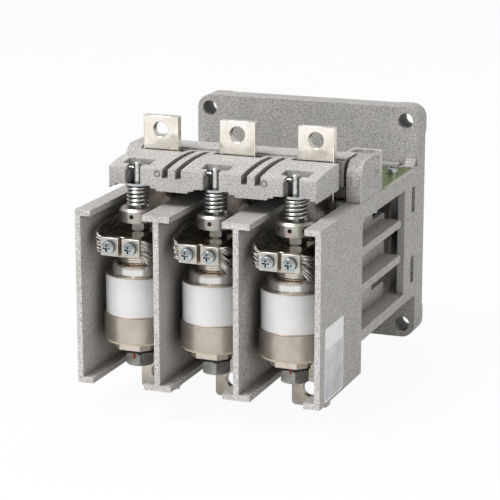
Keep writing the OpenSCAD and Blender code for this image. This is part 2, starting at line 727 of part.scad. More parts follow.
module insulating_rings() color("#e0d8c8") at_mount() poles() {
    translate([0, 0, ring_z])
        ring(ceramic_d + 2 * band_proud - 1.6, stud_d + 2 * bolt_gap, ring_t);
    // Guide of the moving stem, inside the neck
    translate([0, 0, neck_z - cup_wall + 0.1])
        ring(neck_d - 2 * cup_wall - 0.2, stem_d + 2 * fit_gap, neck_h - 0.2);
}

module lower_nuts() color("#b5b3ae") at_mount() poles() translate([0, 0, lower_z - 13])
    rotate([0, 0, -9]) hex_nut(stud_nut_af, 9, stud_d + 2 * fit_gap);

module lower_washers() color("#1e1e1e") at_mount() poles() translate([0, 0, lower_z - 4])
    ring(stud_nut_af + 2.4, stud_d + 2 * bolt_gap, 4);

module contact_block(n) color("#b87f54") at_mount() difference() {
    translate([at_x(n), 0, 0])
        box(-block_w / 2, block_w / 2, block_y, block_y + block_len, block_z, block_z + block_h);
    at_pole(n) translate([0, 0, block_z - past])
        cylinder(d = thread_d + 2 * fit_gap, h = block_h + 2 * past);
    for (x = [-1, 1]) facing_front(at_x(n) + x * clamp_x, block_y + 13, clamp_z)
        cylinder(d = clamp_screw_d + 2 * fit_gap, h = 13 + past);
}

module ferrule() difference() {
    translate([-ferrule_w / 2, -ferrule_t, -ferrule_h / 2])
        cube([ferrule_w, ferrule_t, ferrule_h]);
    facing_front(0, past, 0) cylinder(d = clamp_screw_d + 2 * bolt_gap, h = ferrule_t + 2 * past);
}

module front_ferrules(n) color("#d6cbbd") at_mount()
    for (x = [-1, 1]) translate([at_x(n) + x * clamp_x, block_y, clamp_z]) ferrule();

module rear_ferrules() color("#d6cbbd") at_mount()
    for (n = [1 : 3], x = [-1, 1]) translate([at_x(n) + x * clamp_x, bar_front, clamp_z]) ferrule();

module clamp_screw(length)
    washered_screw(clamp_screw_d, clamp_head_d, 3.2, clamp_head_d + 0.8, length);

module terminal_screws() color("#b9bcc0") at_mount()
    for (n = [1 : 3], x = [-1, 1])
        facing_front(at_x(n) + x * clamp_x, bar_front - ferrule_t, clamp_z)
            clamp_screw(ferrule_t + terminal_t + back_wall_t);

module braids() color("#c9c3b8") at_mount() for (n = [1 : 3]) translate([at_x(n), 0, 0])
    both_sides() braid(ferrule_front + ferrule_t / 2, bar_front - ferrule_t / 2,
        clamp_x + ferrule_w / 2, pole_pitch / 2 - clamp_x - ferrule_w / 2 - braid_t / 2
        - barrier_t / 2 - 1.2, clamp_z);

module pole_fasteners(n) color("#bfc1c3") at_mount() {
    at_pole(n) translate([0, 0, nut_z]) rotate([0, 0, 20]) hex_nut(nut_af, nut_h,
        thread_d + 2 * fit_gap);
    for (x = [-1, 1]) facing_front(at_x(n) + x * clamp_x, ferrule_front, clamp_z)
        clamp_screw(ferrule_t + 11);
}

module moving_stem(n) color("#b8754b") at_mount() at_pole(n) {
    translate([0, 0, moving_face]) cylinder(d = contact_d, h = contact_t);
    translate([0, 0, moving_face + contact_t]) cylinder(d = stem_d,
        h = block_z - moving_face - contact_t);
    translate([0, 0, block_z]) cylinder(d = thread_d, h = collar_z + rod_foot - block_z);
}

// Lower seat of the contact spring, with a ring of tommy-bar holes
module spring_collar(n) color("#bcbab6") at_mount() at_pole(n) translate([0, 0, collar_z])
    difference() {
        union() {
            cylinder(d = collar_d, h = collar_h - 1.6);
            translate([0, 0, collar_h - 1.6])
                cylinder(d1 = collar_d, d2 = collar_d - 3.2, h = 1.6);
        }
        translate([0, 0, -past]) cylinder(d = thread_d + 2 * fit_gap, h = rod_foot + past);
        cylinder(d = rod_d + 2 * fit_gap, h = collar_h + past);
        for (turn = [0 : 45 : 315]) rotate([0, 0, turn + 2]) along_x(collar_d / 2 - 5, 0, collar_h * 0.48)
            cylinder(d = 3, h = 6, $fn = 24);
    }

module pull_rod(n) color("#c6c8ca") at_mount() at_pole(n) {
    difference() {
        union() {
            translate([0, 0, collar_z + rod_foot])
                cylinder(d = rod_d, h = rod_top - 0.8 - collar_z - rod_foot);
            translate([0, 0, rod_top - 0.8]) cylinder(d1 = rod_d, d2 = rod_d - 1.6, h = 0.8);
        }
        along_x(-rod_d, 0, pin_z) cylinder(d = cross_pin_d + 0.06, h = 2 * rod_d, $fn = 32);
    }
    along_x(-pocket_w / 2 + 1.5, 0, pin_z) cylinder(d = cross_pin_d, h = pocket_w - 3, $fn = 32);
}

module spring_washers() color("#bfc1c3") at_mount() poles()
    translate([0, 0, seat_z - washer_t]) ring(spring_d - 0.8, rod_d + 0.6, washer_t);

module contact_springs() color("#c4c6c8") at_mount() poles()
    translate([0, 0, spring_z]) coil_spring(spring_d, wire_d, spring_len, spring_turns);

module rocker() color("#b6b3ad") at_mount() difference() {
    union() {
        // Crowned plate over the three poles
        intersection() {
            box(-rocker_half, rocker_half, rocker_front, hinge_y - 14, seat_z - skirt,
                rocker_top);
            along_x(-rocker_half - past, crown_y, rocker_top - crown_r)
                cylinder(r = crown_r, h = 2 * (rocker_half + past), $fn = 256);
        }
        // Beam round the shaft, with the seat of the armature
        box(-rocker_half, rocker_half, hinge_y - 16, rocker_back, hinge_z - 10, rocker_top);
        swung_open() box(-armature_w / 2, armature_w / 2, hinge_y, armature_y,
            hinge_z - 9, armature_top);
    }
    for (n = [1 : 3]) translate([at_x(n), 0, 0]) {
        // Notch for the pull rod, open to the front
        box(-notch_w / 2, notch_w / 2, rocker_front - past, pole_y, 0, rocker_top + past);
        translate([0, pole_y, seat_z - 2 * skirt])
            cylinder(d = notch_w, h = rocker_rise + 3 * skirt);
        // Its left side steps back below the pocket, and its mouth is rounded
        box(-notch_w / 2 - 0.8, 0, rocker_front - past, pole_y - 2.5, 0, seat_z + pin_floor + 1.2);
        for (side = [0, 1]) mirror([side, 0, 0])
            translate([notch_w / 2, rocker_front, seat_z - 2 * skirt])
                round_edge(mouth_r, rocker_rise + 3 * skirt);
        // Pocket for the cross pin, behind the front lip
        box(-pocket_w / 2, pocket_w / 2, pole_y - 2.5, pole_y + 8.5, seat_z + pin_floor,
            rocker_top + past);
        // Seat of the contact spring, with a step on each side
        box(-spring_d / 2 - 4.6, spring_d / 2 + 4.6, rocker_front - past, pole_y + 14,
            seat_z - 2 * skirt, seat_z);
        box(-spring_d / 2 - 8.6, spring_d / 2 + 8.6, rocker_front - past, pole_y + 10,
            seat_z - 2 * skirt, seat_z - skirt / 2);
        // Slot for the upper terminal
        box(-terminal_w / 2 - 4.5, terminal_w / 2 + 4.5, bar_front - 2, bar_back + 2,
            seat_z - 2 * skirt, rocker_top + past);
    }
    // Grooves and hollows between the poles
    for (x = [-1, 1], side = [-1, 1]) {
        translate([x * pole_pitch / 2 + side * 4.6, 0, 0]) {
            box(-groove_w / 2, groove_w / 2, rocker_front - past, bar_back, seat_z + 5.8,
                rocker_top + past);
            box(-3, 3, rocker_front + 5, bar_front - 5, seat_z - 2 * skirt, seat_z + 2.5);
        }
    }
    along_x(-rocker_half - past, hinge_y, hinge_z)
        cylinder(d = shaft_d + 2 * fit_gap, h = 2 * (rocker_half + past));
    swung_open() for (x = armature_screw_x()) facing_front(x, armature_y + past, armature_screw_z())
        cylinder(d = 5 + 2 * fit_gap, h = 12 + past);
}

function armature_screw_x() = [for (i = [-1 : 1]) i * armature_w * 0.36];
function armature_screw_z() = hinge_z + 10;

module rocker_shaft() color("#c8c9ca") at_mount()
    along_x(-half_w + 2.6, hinge_y, hinge_z) cylinder(d = shaft_d, h = 2 * half_w - 5.2);

module armature() color("#8f9296") at_mount() swung_open() difference() {
    box(-armature_w / 2, armature_w / 2, armature_y, armature_y + armature_t, armature_foot,
        armature_top);
    for (x = armature_screw_x())
        facing_front(x, armature_y + armature_t + past, armature_screw_z())
            cylinder(d = 5 + 2 * bolt_gap, h = armature_t + 2 * past);
}

module armature_screws() color("#b9bcc0") at_mount() swung_open() for (x = armature_screw_x())
    translate([x, armature_y + armature_t, armature_screw_z()]) rotate([-90, 0, 0])
        pan_screw(5, 7, 3, armature_t + 10);

module magnet_yoke() color("#8f9296") at_mount() difference() {
    box(-core_pitch / 2 - 22, core_pitch / 2 + 22, yoke_y, yoke_back, core_z - 22, core_z + 22);
    for (x = [-1, 1]) facing_front(x * core_pitch / 2, yoke_back + past, core_z)
        cylinder(d = 6 + 2 * bolt_gap, h = yoke_t + 2 * past);
    facing_front(0, yoke_back + past, core_z) cylinder(d = 6 + 2 * fit_gap, h = yoke_t + 2 * past);
}

module magnet_cores() color("#a0a3a6") at_mount() for (x = [-1, 1]) difference() {
    union() {
        facing_front(x * core_pitch / 2, yoke_y, core_z) cylinder(d = core_d, h = yoke_y - core_face);
        facing_front(x * core_pitch / 2, core_face + shoe_t, core_z)
            cylinder(d = core_d + 10, h = shoe_t);
    }
    facing_front(x * core_pitch / 2, yoke_y + past, core_z)
        cylinder(d = 6 + 2 * fit_gap, h = 10 + past);
}

module coil_bobbins() color("#2f3033") at_mount() for (x = [-1, 1])
    facing_front(x * core_pitch / 2, bobbin_y + bobbin_len, core_z) {
        ring(core_d + 4, core_d + 0.6, bobbin_len);
        for (z = [0, bobbin_len - 2]) translate([0, 0, z]) ring(flange_d, core_d + 0.6, 2);
    }

module coils() color("#8a3d22") at_mount() for (x = [-1, 1])
    facing_front(x * core_pitch / 2, bobbin_y + bobbin_len - 2.1, core_z)
        ring(coil_d, core_d + 4.2, bobbin_len - 4.2);

// Post on the yoke that carries the return spring on its spigot
module spring_post() color("#b9bcc0") at_mount() facing_front(0, yoke_y, core_z) {
    cylinder(d = post_d, h = yoke_y - post_face);
    cylinder(d = 7, h = yoke_y - post_face + 9);
    translate([0, 0, -yoke_t]) cylinder(d = 6, h = yoke_t);
}

// The spring reaches from the post to just short of the open armature
function open_back() = hinge_y + (armature_y + armature_t - hinge_y) * cos(swing)
    - (hinge_z - core_z - 6) * sin(swing) + 0.2;
module return_spring() color("#c4c6c8") at_mount()
    facing_front(0, post_face, core_z)
        coil_spring(12, 1.5, post_face - open_back() - 0.6, 8, steps = 10);

module circuit_board() color("#4f7a33") at_mount() difference() {
    union() {
        box(-board_x, board_x, board_y, board_back - board_gap, board_z, board_z + board_t);
        both_sides() box(tongue_x[0], tongue_x[1], tongue_y, board_y + past, board_z,
            board_z + board_t);
    }
    both_sides() for (y = board_screw_y()) translate([screw_hole_x, y, board_z - past])
        cylinder(d = 4 + 2 * bolt_gap, h = board_t + 2 * past);
}

board_depth = board_back - board_gap - board_y;
// Terminal strip, relay and two capacitors of the coil's supply
module board_parts() color("#3a3f45") at_mount() translate([0, board_y, board_z + board_t]) {
    for (i = [0 : 3]) translate([(i * 0.124 - 0.63) * board_x, board_depth - 20, 0]) difference() {
        cube([0.121 * board_x, 12, 9]);
        translate([0.06 * board_x, 6, 4]) cylinder(d = 4.5, h = 6);
    }
    translate([-20, 8, 0]) cube([22, 16, 9]);
    for (x = [18, 36]) translate([x, 22, 0]) cylinder(d = 12, h = 10);
}

base_frame();
pole_frame();
bearing_block_left();
bearing_block_right();
bearing_bushes();
barrier_screws();
bearing_screws();
board_screws();
magnet_screws();
lower_terminal(1);  // lower_terminal_1
lower_terminal(2);  // lower_terminal_2
lower_terminal(3);  // lower_terminal_3
upper_terminal(1);  // upper_terminal_1
upper_terminal(2);  // upper_terminal_2
upper_terminal(3);  // upper_terminal_3
lower_cups();
ceramics();
upper_cups();
fixed_stems();
arc_shields();
bellows();
insulating_rings();
lower_nuts();
lower_washers();
braids();
rear_ferrules();
terminal_screws();
magnet_yoke();
magnet_cores();
coil_bobbins();
coils();
spring_post();
return_spring();
circuit_board();
board_parts();
stop_buffers();
rocker();
rocker_shaft();
armature();
armature_screws();
spring_washers();
contact_springs();
moving_stem(1);  // moving_stem_1
moving_stem(2);  // moving_stem_2
moving_stem(3);  // moving_stem_3
contact_block(1);  // contact_block_1
contact_block(2);  // contact_block_2
contact_block(3);  // contact_block_3
front_ferrules(1);  // front_ferrules_1
front_ferrules(2);  // front_ferrules_2
front_ferrules(3);  // front_ferrules_3
pole_fasteners(1);  // pole_fasteners_1
pole_fasteners(2);  // pole_fasteners_2
pole_fasteners(3);  // pole_fasteners_3
spring_collar(1);  // spring_collar_1
spring_collar(2);  // spring_collar_2
spring_collar(3);  // spring_collar_3
pull_rod(1);  // pull_rod_1
pull_rod(2);  // pull_rod_2
pull_rod(3);  // pull_rod_3
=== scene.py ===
# %% [markdown]
# # Three-pole vacuum contactor, dressed around its CAD frame
#
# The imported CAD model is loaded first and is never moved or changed. Where a node's shape
# is right it only gets a finish. Where the real piece has something that the solid leaves
# out, such as the strands of a braid or the broken edges of a moulding, a new piece is
# made in its place and rides on the same body.

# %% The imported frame
import json
import math

import bmesh
import bpy
from mathutils import Matrix, Vector, noise
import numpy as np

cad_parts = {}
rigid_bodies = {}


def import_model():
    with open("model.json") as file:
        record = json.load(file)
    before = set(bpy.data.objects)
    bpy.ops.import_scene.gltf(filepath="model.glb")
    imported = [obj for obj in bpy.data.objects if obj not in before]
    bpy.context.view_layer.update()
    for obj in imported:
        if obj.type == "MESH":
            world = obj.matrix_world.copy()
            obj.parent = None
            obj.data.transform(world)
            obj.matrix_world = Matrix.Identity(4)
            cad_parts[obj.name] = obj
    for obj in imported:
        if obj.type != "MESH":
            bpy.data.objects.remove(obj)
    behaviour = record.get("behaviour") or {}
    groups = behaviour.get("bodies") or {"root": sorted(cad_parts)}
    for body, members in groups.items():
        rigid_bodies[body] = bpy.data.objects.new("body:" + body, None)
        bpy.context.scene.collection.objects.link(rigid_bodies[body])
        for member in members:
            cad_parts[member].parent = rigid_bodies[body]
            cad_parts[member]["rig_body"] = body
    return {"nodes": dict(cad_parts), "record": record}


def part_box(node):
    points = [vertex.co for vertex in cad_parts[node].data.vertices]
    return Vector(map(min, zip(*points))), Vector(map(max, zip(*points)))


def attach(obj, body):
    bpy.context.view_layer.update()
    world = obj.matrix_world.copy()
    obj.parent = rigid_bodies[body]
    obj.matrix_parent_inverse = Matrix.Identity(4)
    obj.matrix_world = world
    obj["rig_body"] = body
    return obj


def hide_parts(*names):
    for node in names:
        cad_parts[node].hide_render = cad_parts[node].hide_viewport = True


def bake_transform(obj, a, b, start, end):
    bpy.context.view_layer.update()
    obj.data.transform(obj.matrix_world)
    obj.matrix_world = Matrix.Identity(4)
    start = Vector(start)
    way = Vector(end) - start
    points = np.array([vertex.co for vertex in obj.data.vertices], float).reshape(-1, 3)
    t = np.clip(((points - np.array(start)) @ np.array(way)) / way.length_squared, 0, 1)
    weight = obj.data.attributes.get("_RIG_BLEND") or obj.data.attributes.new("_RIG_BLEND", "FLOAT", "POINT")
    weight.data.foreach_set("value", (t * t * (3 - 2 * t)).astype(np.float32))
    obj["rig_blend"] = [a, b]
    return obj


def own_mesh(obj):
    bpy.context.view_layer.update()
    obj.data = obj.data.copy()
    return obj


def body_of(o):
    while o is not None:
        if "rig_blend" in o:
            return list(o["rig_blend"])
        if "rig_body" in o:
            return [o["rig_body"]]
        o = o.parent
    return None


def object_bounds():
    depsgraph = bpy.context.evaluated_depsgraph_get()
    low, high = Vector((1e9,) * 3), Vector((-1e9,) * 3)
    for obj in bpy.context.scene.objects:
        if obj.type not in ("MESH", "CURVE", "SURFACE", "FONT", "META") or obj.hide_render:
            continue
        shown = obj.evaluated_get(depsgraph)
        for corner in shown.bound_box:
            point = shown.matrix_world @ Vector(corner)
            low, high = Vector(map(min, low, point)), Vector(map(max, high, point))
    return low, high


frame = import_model()
cad_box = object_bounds()
MM = 0.001

# %% [markdown]
# ## Camera
#
# The photograph was taken with a long lens from the right and a little above, which keeps
# the uprights parallel. The three directions are those of the camera's own axes (right, up
# and back towards the viewer), so the matrix needs no angles. No lens shift is needed,
# because the object stands in the middle of the frame.

# %% Camera at the photograph's viewing angle
CAMERA_RIGHT = Vector((0.9342661, 0.3565766, 0.0))
CAMERA_BACK = Vector((0.3457039, -0.9057786, 0.2450590))
CAMERA_PLACE = Vector((0.48208, -1.39798, 0.34225))
PHOTO_PIXELS = 500
FOCAL_PIXELS = 2044.8

SENSOR_MM = 36


def into_scene(name, data):
    obj = bpy.data.objects.new(name, data)
    bpy.context.scene.collection.objects.link(obj)
    return obj


camera = into_scene("camera", bpy.data.cameras.new("camera"))
bpy.context.scene.camera = camera
camera.data.sensor_width = SENSOR_MM
camera.data.lens = FOCAL_PIXELS / PHOTO_PIXELS * SENSOR_MM
camera.data.clip_start = 0.05
up = CAMERA_BACK.cross(CAMERA_RIGHT)
camera.matrix_world = (Matrix.Translation(CAMERA_PLACE)
                       @ Matrix((CAMERA_RIGHT, up, CAMERA_BACK)).transposed().to_4x4())
print("lens in mm:", round(camera.data.lens, 2))

# %% [markdown]
# ## Measures
#
# Everything is measured in millimetres from the front lower edge of the barriers, at the
# middle of the object, as on the drawing: x to the right, y to the back and z up. `at` turns
# such a point into the frame's own coordinates, in metres, and `drawn` turns it back.

# %% Points of the drawing in the frame's coordinates
barrier_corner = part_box("pole_frame")[0]
POLES = (1, 2, 3)
ceramic_low, ceramic_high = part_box("ceramics")
ceramic_d = (ceramic_high.y - ceramic_low.y) / MM
pole_pitch = (ceramic_high.x - ceramic_low.x) / MM / 2 - ceramic_d / 2


def at(x, y, z):
    return Vector((x * MM, barrier_corner.y + y * MM, barrier_corner.z + z * MM))


def drawn(point):
    return (point.x / MM, (point.y - barrier_corner.y) / MM, (point.z - barrier_corner.z) / MM)


def pole_x(pole):
    return (pole - 2) * pole_pitch


pole_y = drawn((ceramic_low + ceramic_high) / 2)[1]
print("pole pitch", round(pole_pitch, 2), "pole axis behind the edges", round(pole_y, 2))

# %% [markdown]
# ## Helpers for finishes
#
# A finish is a node tree on the Principled shader. Colours are written as sRGB hex values,
# as read from a paint chart, and one function turns them linear. One small function adds a
# node with its settings and links, so that each finish below reads as a short recipe.

# %% Colour and node helpers
def colour(code):
    channels = [int(code[i:i + 2], 16) / 255 for i in (1, 3, 5)]
    return [c / 12.92 if c <= 0.04045 else ((c + 0.055) / 1.055) ** 2.4
            for c in channels] + [1.0]


def add(tree, kind, inputs=(), **settings):
    node = tree.nodes.new(kind)
    for name, value in settings.items():
        setattr(node, name, value)
    for name, value in dict(inputs).items():
        if isinstance(value, bpy.types.NodeSocket):
            tree.links.new(value, node.inputs[name])
        else:
            node.inputs[name].default_value = value
    return node


def per_metre(size_mm):
    return 1 / (size_mm * MM)


print("mid grey is", round(colour("#808080")[0], 3), "in linear light")

# %% Helpers for the layers of a finish
FINISHES = {}


def begin(name, **constants):
    """A new material, with the constants set on its shader's own sockets."""
    material = bpy.data.materials.new(name)
    material.use_nodes = True
    tree = material.node_tree
    surface = tree.nodes["Principled BSDF"]
    for socket, value in constants.items():
        surface.inputs[socket.replace("_", " ")].default_value = value
    place = add(tree, "ShaderNodeTexCoord").outputs["Object"]
    FINISHES[name] = material
    return material, tree, surface, place


def grain(tree, place, size_mm, detail=2.0, rough=0.5, stretch=(1, 1, 1)):
    """Noise whose features are about that size, stretched along the axes."""
    mapped = add(tree, "ShaderNodeMapping", {"Vector": place, "Scale": stretch})
    return add(tree, "ShaderNodeTexNoise", {
        "Vector": mapped.outputs[0], "Scale": per_metre(size_mm), "Detail": detail,
        "Roughness": rough}).outputs["Fac"]


def between(tree, value, low, high, out_low=0.0, out_high=1.0):
    """The value, spread from one range to another and kept inside it."""
    return add(tree, "ShaderNodeMapRange", {
        "Value": value, "From Min": low, "From Max": high, "To Min": out_low,
        "To Max": out_high}).outputs["Result"]


def mixed(tree, share, first, second):
    """One colour into another by a share from 0 to 1."""
    return add(tree, "ShaderNodeMix", {"Factor": share, 6: first, 7: second},
               data_type="RGBA").outputs[2]


def relief(tree, surface, height, depth_mm, strength=1.0, over=None):
    """Raise the skin by a height, over a relief that is already there."""
    bump = add(tree, "ShaderNodeBump", {
        "Height": height, "Strength": strength, "Distance": depth_mm * MM})
    if over:
        tree.links.new(over, bump.inputs["Normal"])
    tree.links.new(bump.outputs["Normal"], surface.inputs["Normal"])
    return bump.outputs["Normal"]


print("a 2 mm pattern repeats", round(per_metre(2)), "times in a metre")

# %% [markdown]
# ## Moulded frame: glass-filled polyester
#
# The base, the barriers, the bearing blocks and the rocker are pressed from a polyester
# moulding compound. Short glass strands and grey resin set into a salt-and-pepper skin:
# pale and dark flecks of about a millimetre, finer ones between them, and hardly any
# broader cloud. Noise of three sizes gives this, and Object coordinates keep it the same
# size on every piece. A half-matt skin over a slightly pitted relief keeps it from looking
# painted. The Ambient Occlusion node, which knows how enclosed a point is, mixes a dark tone
# into recesses as painted shade.

# %% Finish: speckled polyester moulding
SHADE_REACH = 14


def polyester_moulding(name, body, second, pale, dark):
    material, tree, surface, place = begin(name, Roughness=0.5, Specular_IOR_Level=0.3)
    # Clouds of 16 mm, flecks of about 0.9 mm, and dark specks half as wide
    broad = grain(tree, place, 16, 2.0)
    ground = mixed(tree, between(tree, broad, 0.35, 0.65), colour(body), colour(second))
    fleck = grain(tree, place, 0.85, 1.0, 0.5)
    fine = grain(tree, place, 0.4, 1.0, 0.5)
    ground = mixed(tree, between(tree, fleck, 0.48, 0.26), ground, colour(dark))
    ground = mixed(tree, between(tree, fleck, 0.54, 0.78), ground, colour(pale))
    ground = mixed(tree, between(tree, fine, 0.40, 0.20), ground, colour(dark))
    # Painted shade: the more enclosed a point is, the more of a dark tone it takes
    corner = add(tree, "ShaderNodeAmbientOcclusion", {"Distance": SHADE_REACH * MM}, samples=8)
    ground = mixed(tree, between(tree, corner.outputs["AO"], 0.85, 0.15, 0.0, 0.70), ground,
                   colour("#3E3B38"))
    tree.links.new(ground, surface.inputs["Base Color"])
    tree.links.new(between(tree, fleck, 0.3, 0.7, 0.60, 0.44), surface.inputs["Roughness"])
    relief(tree, surface, fleck, 0.08, 0.4)
    return material


# Base, barriers and bearing blocks: a warm middle grey
grey_moulding = polyester_moulding("speckled_polyester_moulding", "#B7B3AF", "#AFACA8",
                                   "#DCD9D4", "#6A6663")
# The rocker wears a paler grey than the frame
pale_moulding = polyester_moulding("paler_polyester_moulding", "#C3C0BD", "#BBB8B5",
                                   "#E2E0DC", "#767370")
# Ejector marks wear a darker grey, painted shade, and read as dark rings
ejector_shade_moulding = polyester_moulding("moulding_mark_painted_shade", "#85817E", "#7A7673", "#A29E9A",
                                    "#5A5754")
# Broken edges and the barriers' front faces wear a paler grey, a painted highlight
edge_highlight_moulding = polyester_moulding("moulding_edge_painted_highlight", "#D4D1CD", "#CBC8C3",
                                     "#EBE9E5", "#9A9692")
print("moulding finishes:", list(FINISHES))

# %% [markdown]
# ## Bare and plated metals
#
# Every metal keeps the default IOR and takes its look from base colour and roughness.
# Tin over copper is a warm silver that scuffs, blue zinc is colder with a faint play of
# colour, drawn steel is darker, and the bare copper of the contact blocks has browned.
# One recipe serves them all: a cloud of two tones, fine marks that change both roughness and
# relief, painted shade where the metal is enclosed, and for sheared bars a slow sway of the face.

# %% Finish: a metal with its own colour play, scuffs and marks
SWAY_DEPTH = 0.5


# corner_mm is how far the painted shade of enclosed places reaches
def metal(name, body, second, rough, rough_far, cloud_mm=6.0, marks_mm=0.5,
          marks_depth=0.01, stretch=(1, 1, 1), corner_mm=None, corner_open=0.8, sway_mm=None,
          **more):
    material, tree, surface, place = begin(name, Metallic=1.0, **more)
    cloud = grain(tree, place, cloud_mm, 3.0, 0.6)
    skin = mixed(tree, between(tree, cloud, 0.35, 0.65), colour(body), colour(second))
    if corner_mm:
        # Painted shade: a dark tone mixed into recesses and between strands
        corner = add(tree, "ShaderNodeAmbientOcclusion", {"Distance": corner_mm * MM}, samples=8)
        skin = mixed(tree, between(tree, corner.outputs["AO"], corner_open, 0.2, 0.0, 0.85), skin,
                     colour("#2B2622"))
    tree.links.new(skin, surface.inputs["Base Color"])
    marks = grain(tree, place, marks_mm, 2.0, 0.6, stretch)
    tree.links.new(between(tree, marks, 0.3, 0.7, rough, rough_far),
                   surface.inputs["Roughness"])
    # A sheared or dipped face is never quite flat, which bends what it mirrors
    sway = relief(tree, surface, grain(tree, place, sway_mm, 1.0), SWAY_DEPTH) if sway_mm else None
    relief(tree, surface, marks, marks_depth, 0.5, sway)
    return material


print("a face sways by up to", SWAY_DEPTH, "mm")

# %% Copper parts: bars, legs, wire, blocks and ferrules
# Hot-tinned bars: a warm silver, smeared where the tin ran
# Painted shade over a 40 mm reach darkens the bars where they run down among other parts
tinned_bar = metal("hot_tinned_copper", "#FFFBF4", "#F0E7DA", 0.10, 0.22, 12, 2.2, 0.02,
                   corner_mm=40, corner_open=0.5, sway_mm=14)
# The lower legs are handled more, and their tin has gone dull
dull_tin = metal("dulled_tin_leg", "#EFE7DB", "#DDD3C6", 0.36, 0.50, 5, 0.8, 0.02)
# Tinned wire: brighter and colder, because it is drawn and never handled
tinned_wire = metal("tinned_copper_wire", "#FFFBF4", "#E6DFD4", 0.20, 0.32, 1.2, 0.3, 0.004,
                    corner_mm=8.0)
# Bare copper that has browned in air and still mirrors what is round it
bare_copper = metal("browned_copper_block", "#E8D4BE", "#AF947A", 0.13, 0.26, 8, 0.6, 0.006,
                    corner_mm=6.0)
# Crimped ferrules: thin tin over copper, dulled and scored by the pressing tool
crimped_tin = metal("crimped_tinned_ferrule", "#D9D5CE", "#C2BCB2", 0.24, 0.38, 4, 0.8, 0.02)
print("copper finishes:", list(FINISHES)[-5:])

# %% Steel, zinc, nickel and the other metals
# Deep-drawn steel with the fine rings that the lathe and the die leave
drawn_steel = metal("drawn_steel_band", "#D3CAC0", "#C4BBB1", 0.34, 0.46, 9, 0.35, 0.006,
                    stretch=(0.15, 0.15, 3))
# Nickel over drawn steel: satin, and brighter than the band
satin_nickel = metal("satin_nickel_cup", "#F1EEEB", "#E2DEDA", 0.20, 0.30, 14, 0.35, 0.003,
                     stretch=(0.15, 0.15, 3))
# Zinc with a clear blue passivate: cold, with a straw tint in places
zinc_plate = metal("blue_zinc_plating", "#9DB6C8", "#D9D3C4", 0.08, 0.20, 1.6, 0.9, 0.09,
                   corner_mm=2.4)
# Yellow zinc of the turned collars: duller, with the pink and green of its passivate
yellow_zinc = metal("yellow_zinc_plating", "#BCC8B9", "#C5AFB0", 0.26, 0.40, 4.0, 0.5, 0.02,
                    corner_mm=2.5)
# Turned nuts: zinc gone grey under a film of oil
grey_zinc = metal("grey_zinc_nut", "#BDBDB6", "#A3A39B", 0.26, 0.40, 4.0, 0.5, 0.01)
# Spring wire is drawn smooth before plating, so it is the brightest of the zinc
spring_wire = metal("zinc_plated_spring_wire", "#E3E6E8", "#B9B6AE", 0.12, 0.24, 2.0, 0.4,
                    0.006)
# Laminated steel, ground on its faces and oiled
magnet_steel = metal("ground_magnet_steel", "#A3A6AB", "#8E9196", 0.34, 0.5, 10, 0.3, 0.01)
# Copper and silver braze: the thin warm line at both ends of a ceramic body
braze_line = metal("braze_seam", "#D2BEA6", "#C2A98C", 0.26, 0.36, 2, 0.3, 0.01)
# Sintered bronze is porous and full of oil: warm and dull
bronze = metal("sintered_bronze", "#C9A96E", "#B3925A", 0.4, 0.55, 3, 0.3, 0.02)
# Rolled aluminium of the label plate, brushed along its length
brushed_aluminium = metal("brushed_aluminium_plate", "#ECEEF0", "#CFD3D6", 0.24, 0.36, 16,
                          0.3, 0.004, stretch=(1, 3, 0.06))
print("finishes so far:", len(FINISHES))

# %% [markdown]
# ## Ceramic, insulation, rubber and winding
#
# The interrupter's body is glazed alumina: white, with a wet gloss over a slightly uneven
# skin. The rings under it are cut from pressed board, the washers are black nylon, the
# stops rubber, and the coils are wound of enamelled wire and varnished. The circuit board is
# glass laminate under a green solder mask that lets the copper tracks show as paler lines.

# %% Finishes: glazed alumina, filled plastic, winding and solder mask
def glazed_alumina():
    material, tree, surface, place = begin("glazed_alumina", Roughness=0.14,
                                           Coat_Weight=0.5, Coat_Roughness=0.06)
    cloud = grain(tree, place, 12, 2.0)
    tree.links.new(mixed(tree, between(tree, cloud, 0.3, 0.7), colour("#F3F2F1"),
                         colour("#ECEBEA")), surface.inputs["Base Color"])
    relief(tree, surface, grain(tree, place, 3.5, 1.0), 0.02, 0.4)
    return material


def filled_plastic(name, body, second, rough, grain_mm=0.6, depth_mm=0.03):
    material, tree, surface, place = begin(name, Roughness=rough)
    fine = grain(tree, place, grain_mm, 2.0, 0.6)
    tree.links.new(mixed(tree, between(tree, fine, 0.3, 0.7), colour(body), colour(second)),
                   surface.inputs["Base Color"])
    relief(tree, surface, fine, depth_mm, 0.5)
    return material


def enamelled_winding():
    material, tree, surface, place = begin("varnished_enamelled_winding", Roughness=0.3,
                                           Coat_Weight=0.4, Coat_Roughness=0.15)
    # Wire of 0.5 mm would be too fine to show, so a turn is drawn 1 mm wide. At a scale of 1
    # the node's wave is about 1 / pi of a unit long
    turns = add(tree, "ShaderNodeTexWave", {
        "Vector": place, "Scale": per_metre(1.0) / math.pi,
        "Distortion": 0.4}, bands_direction="Y").outputs["Fac"]
    tree.links.new(mixed(tree, turns, colour("#5B2415"), colour("#A5502C")),
                   surface.inputs["Base Color"])
    relief(tree, surface, turns, 0.2, 0.8)
    return material


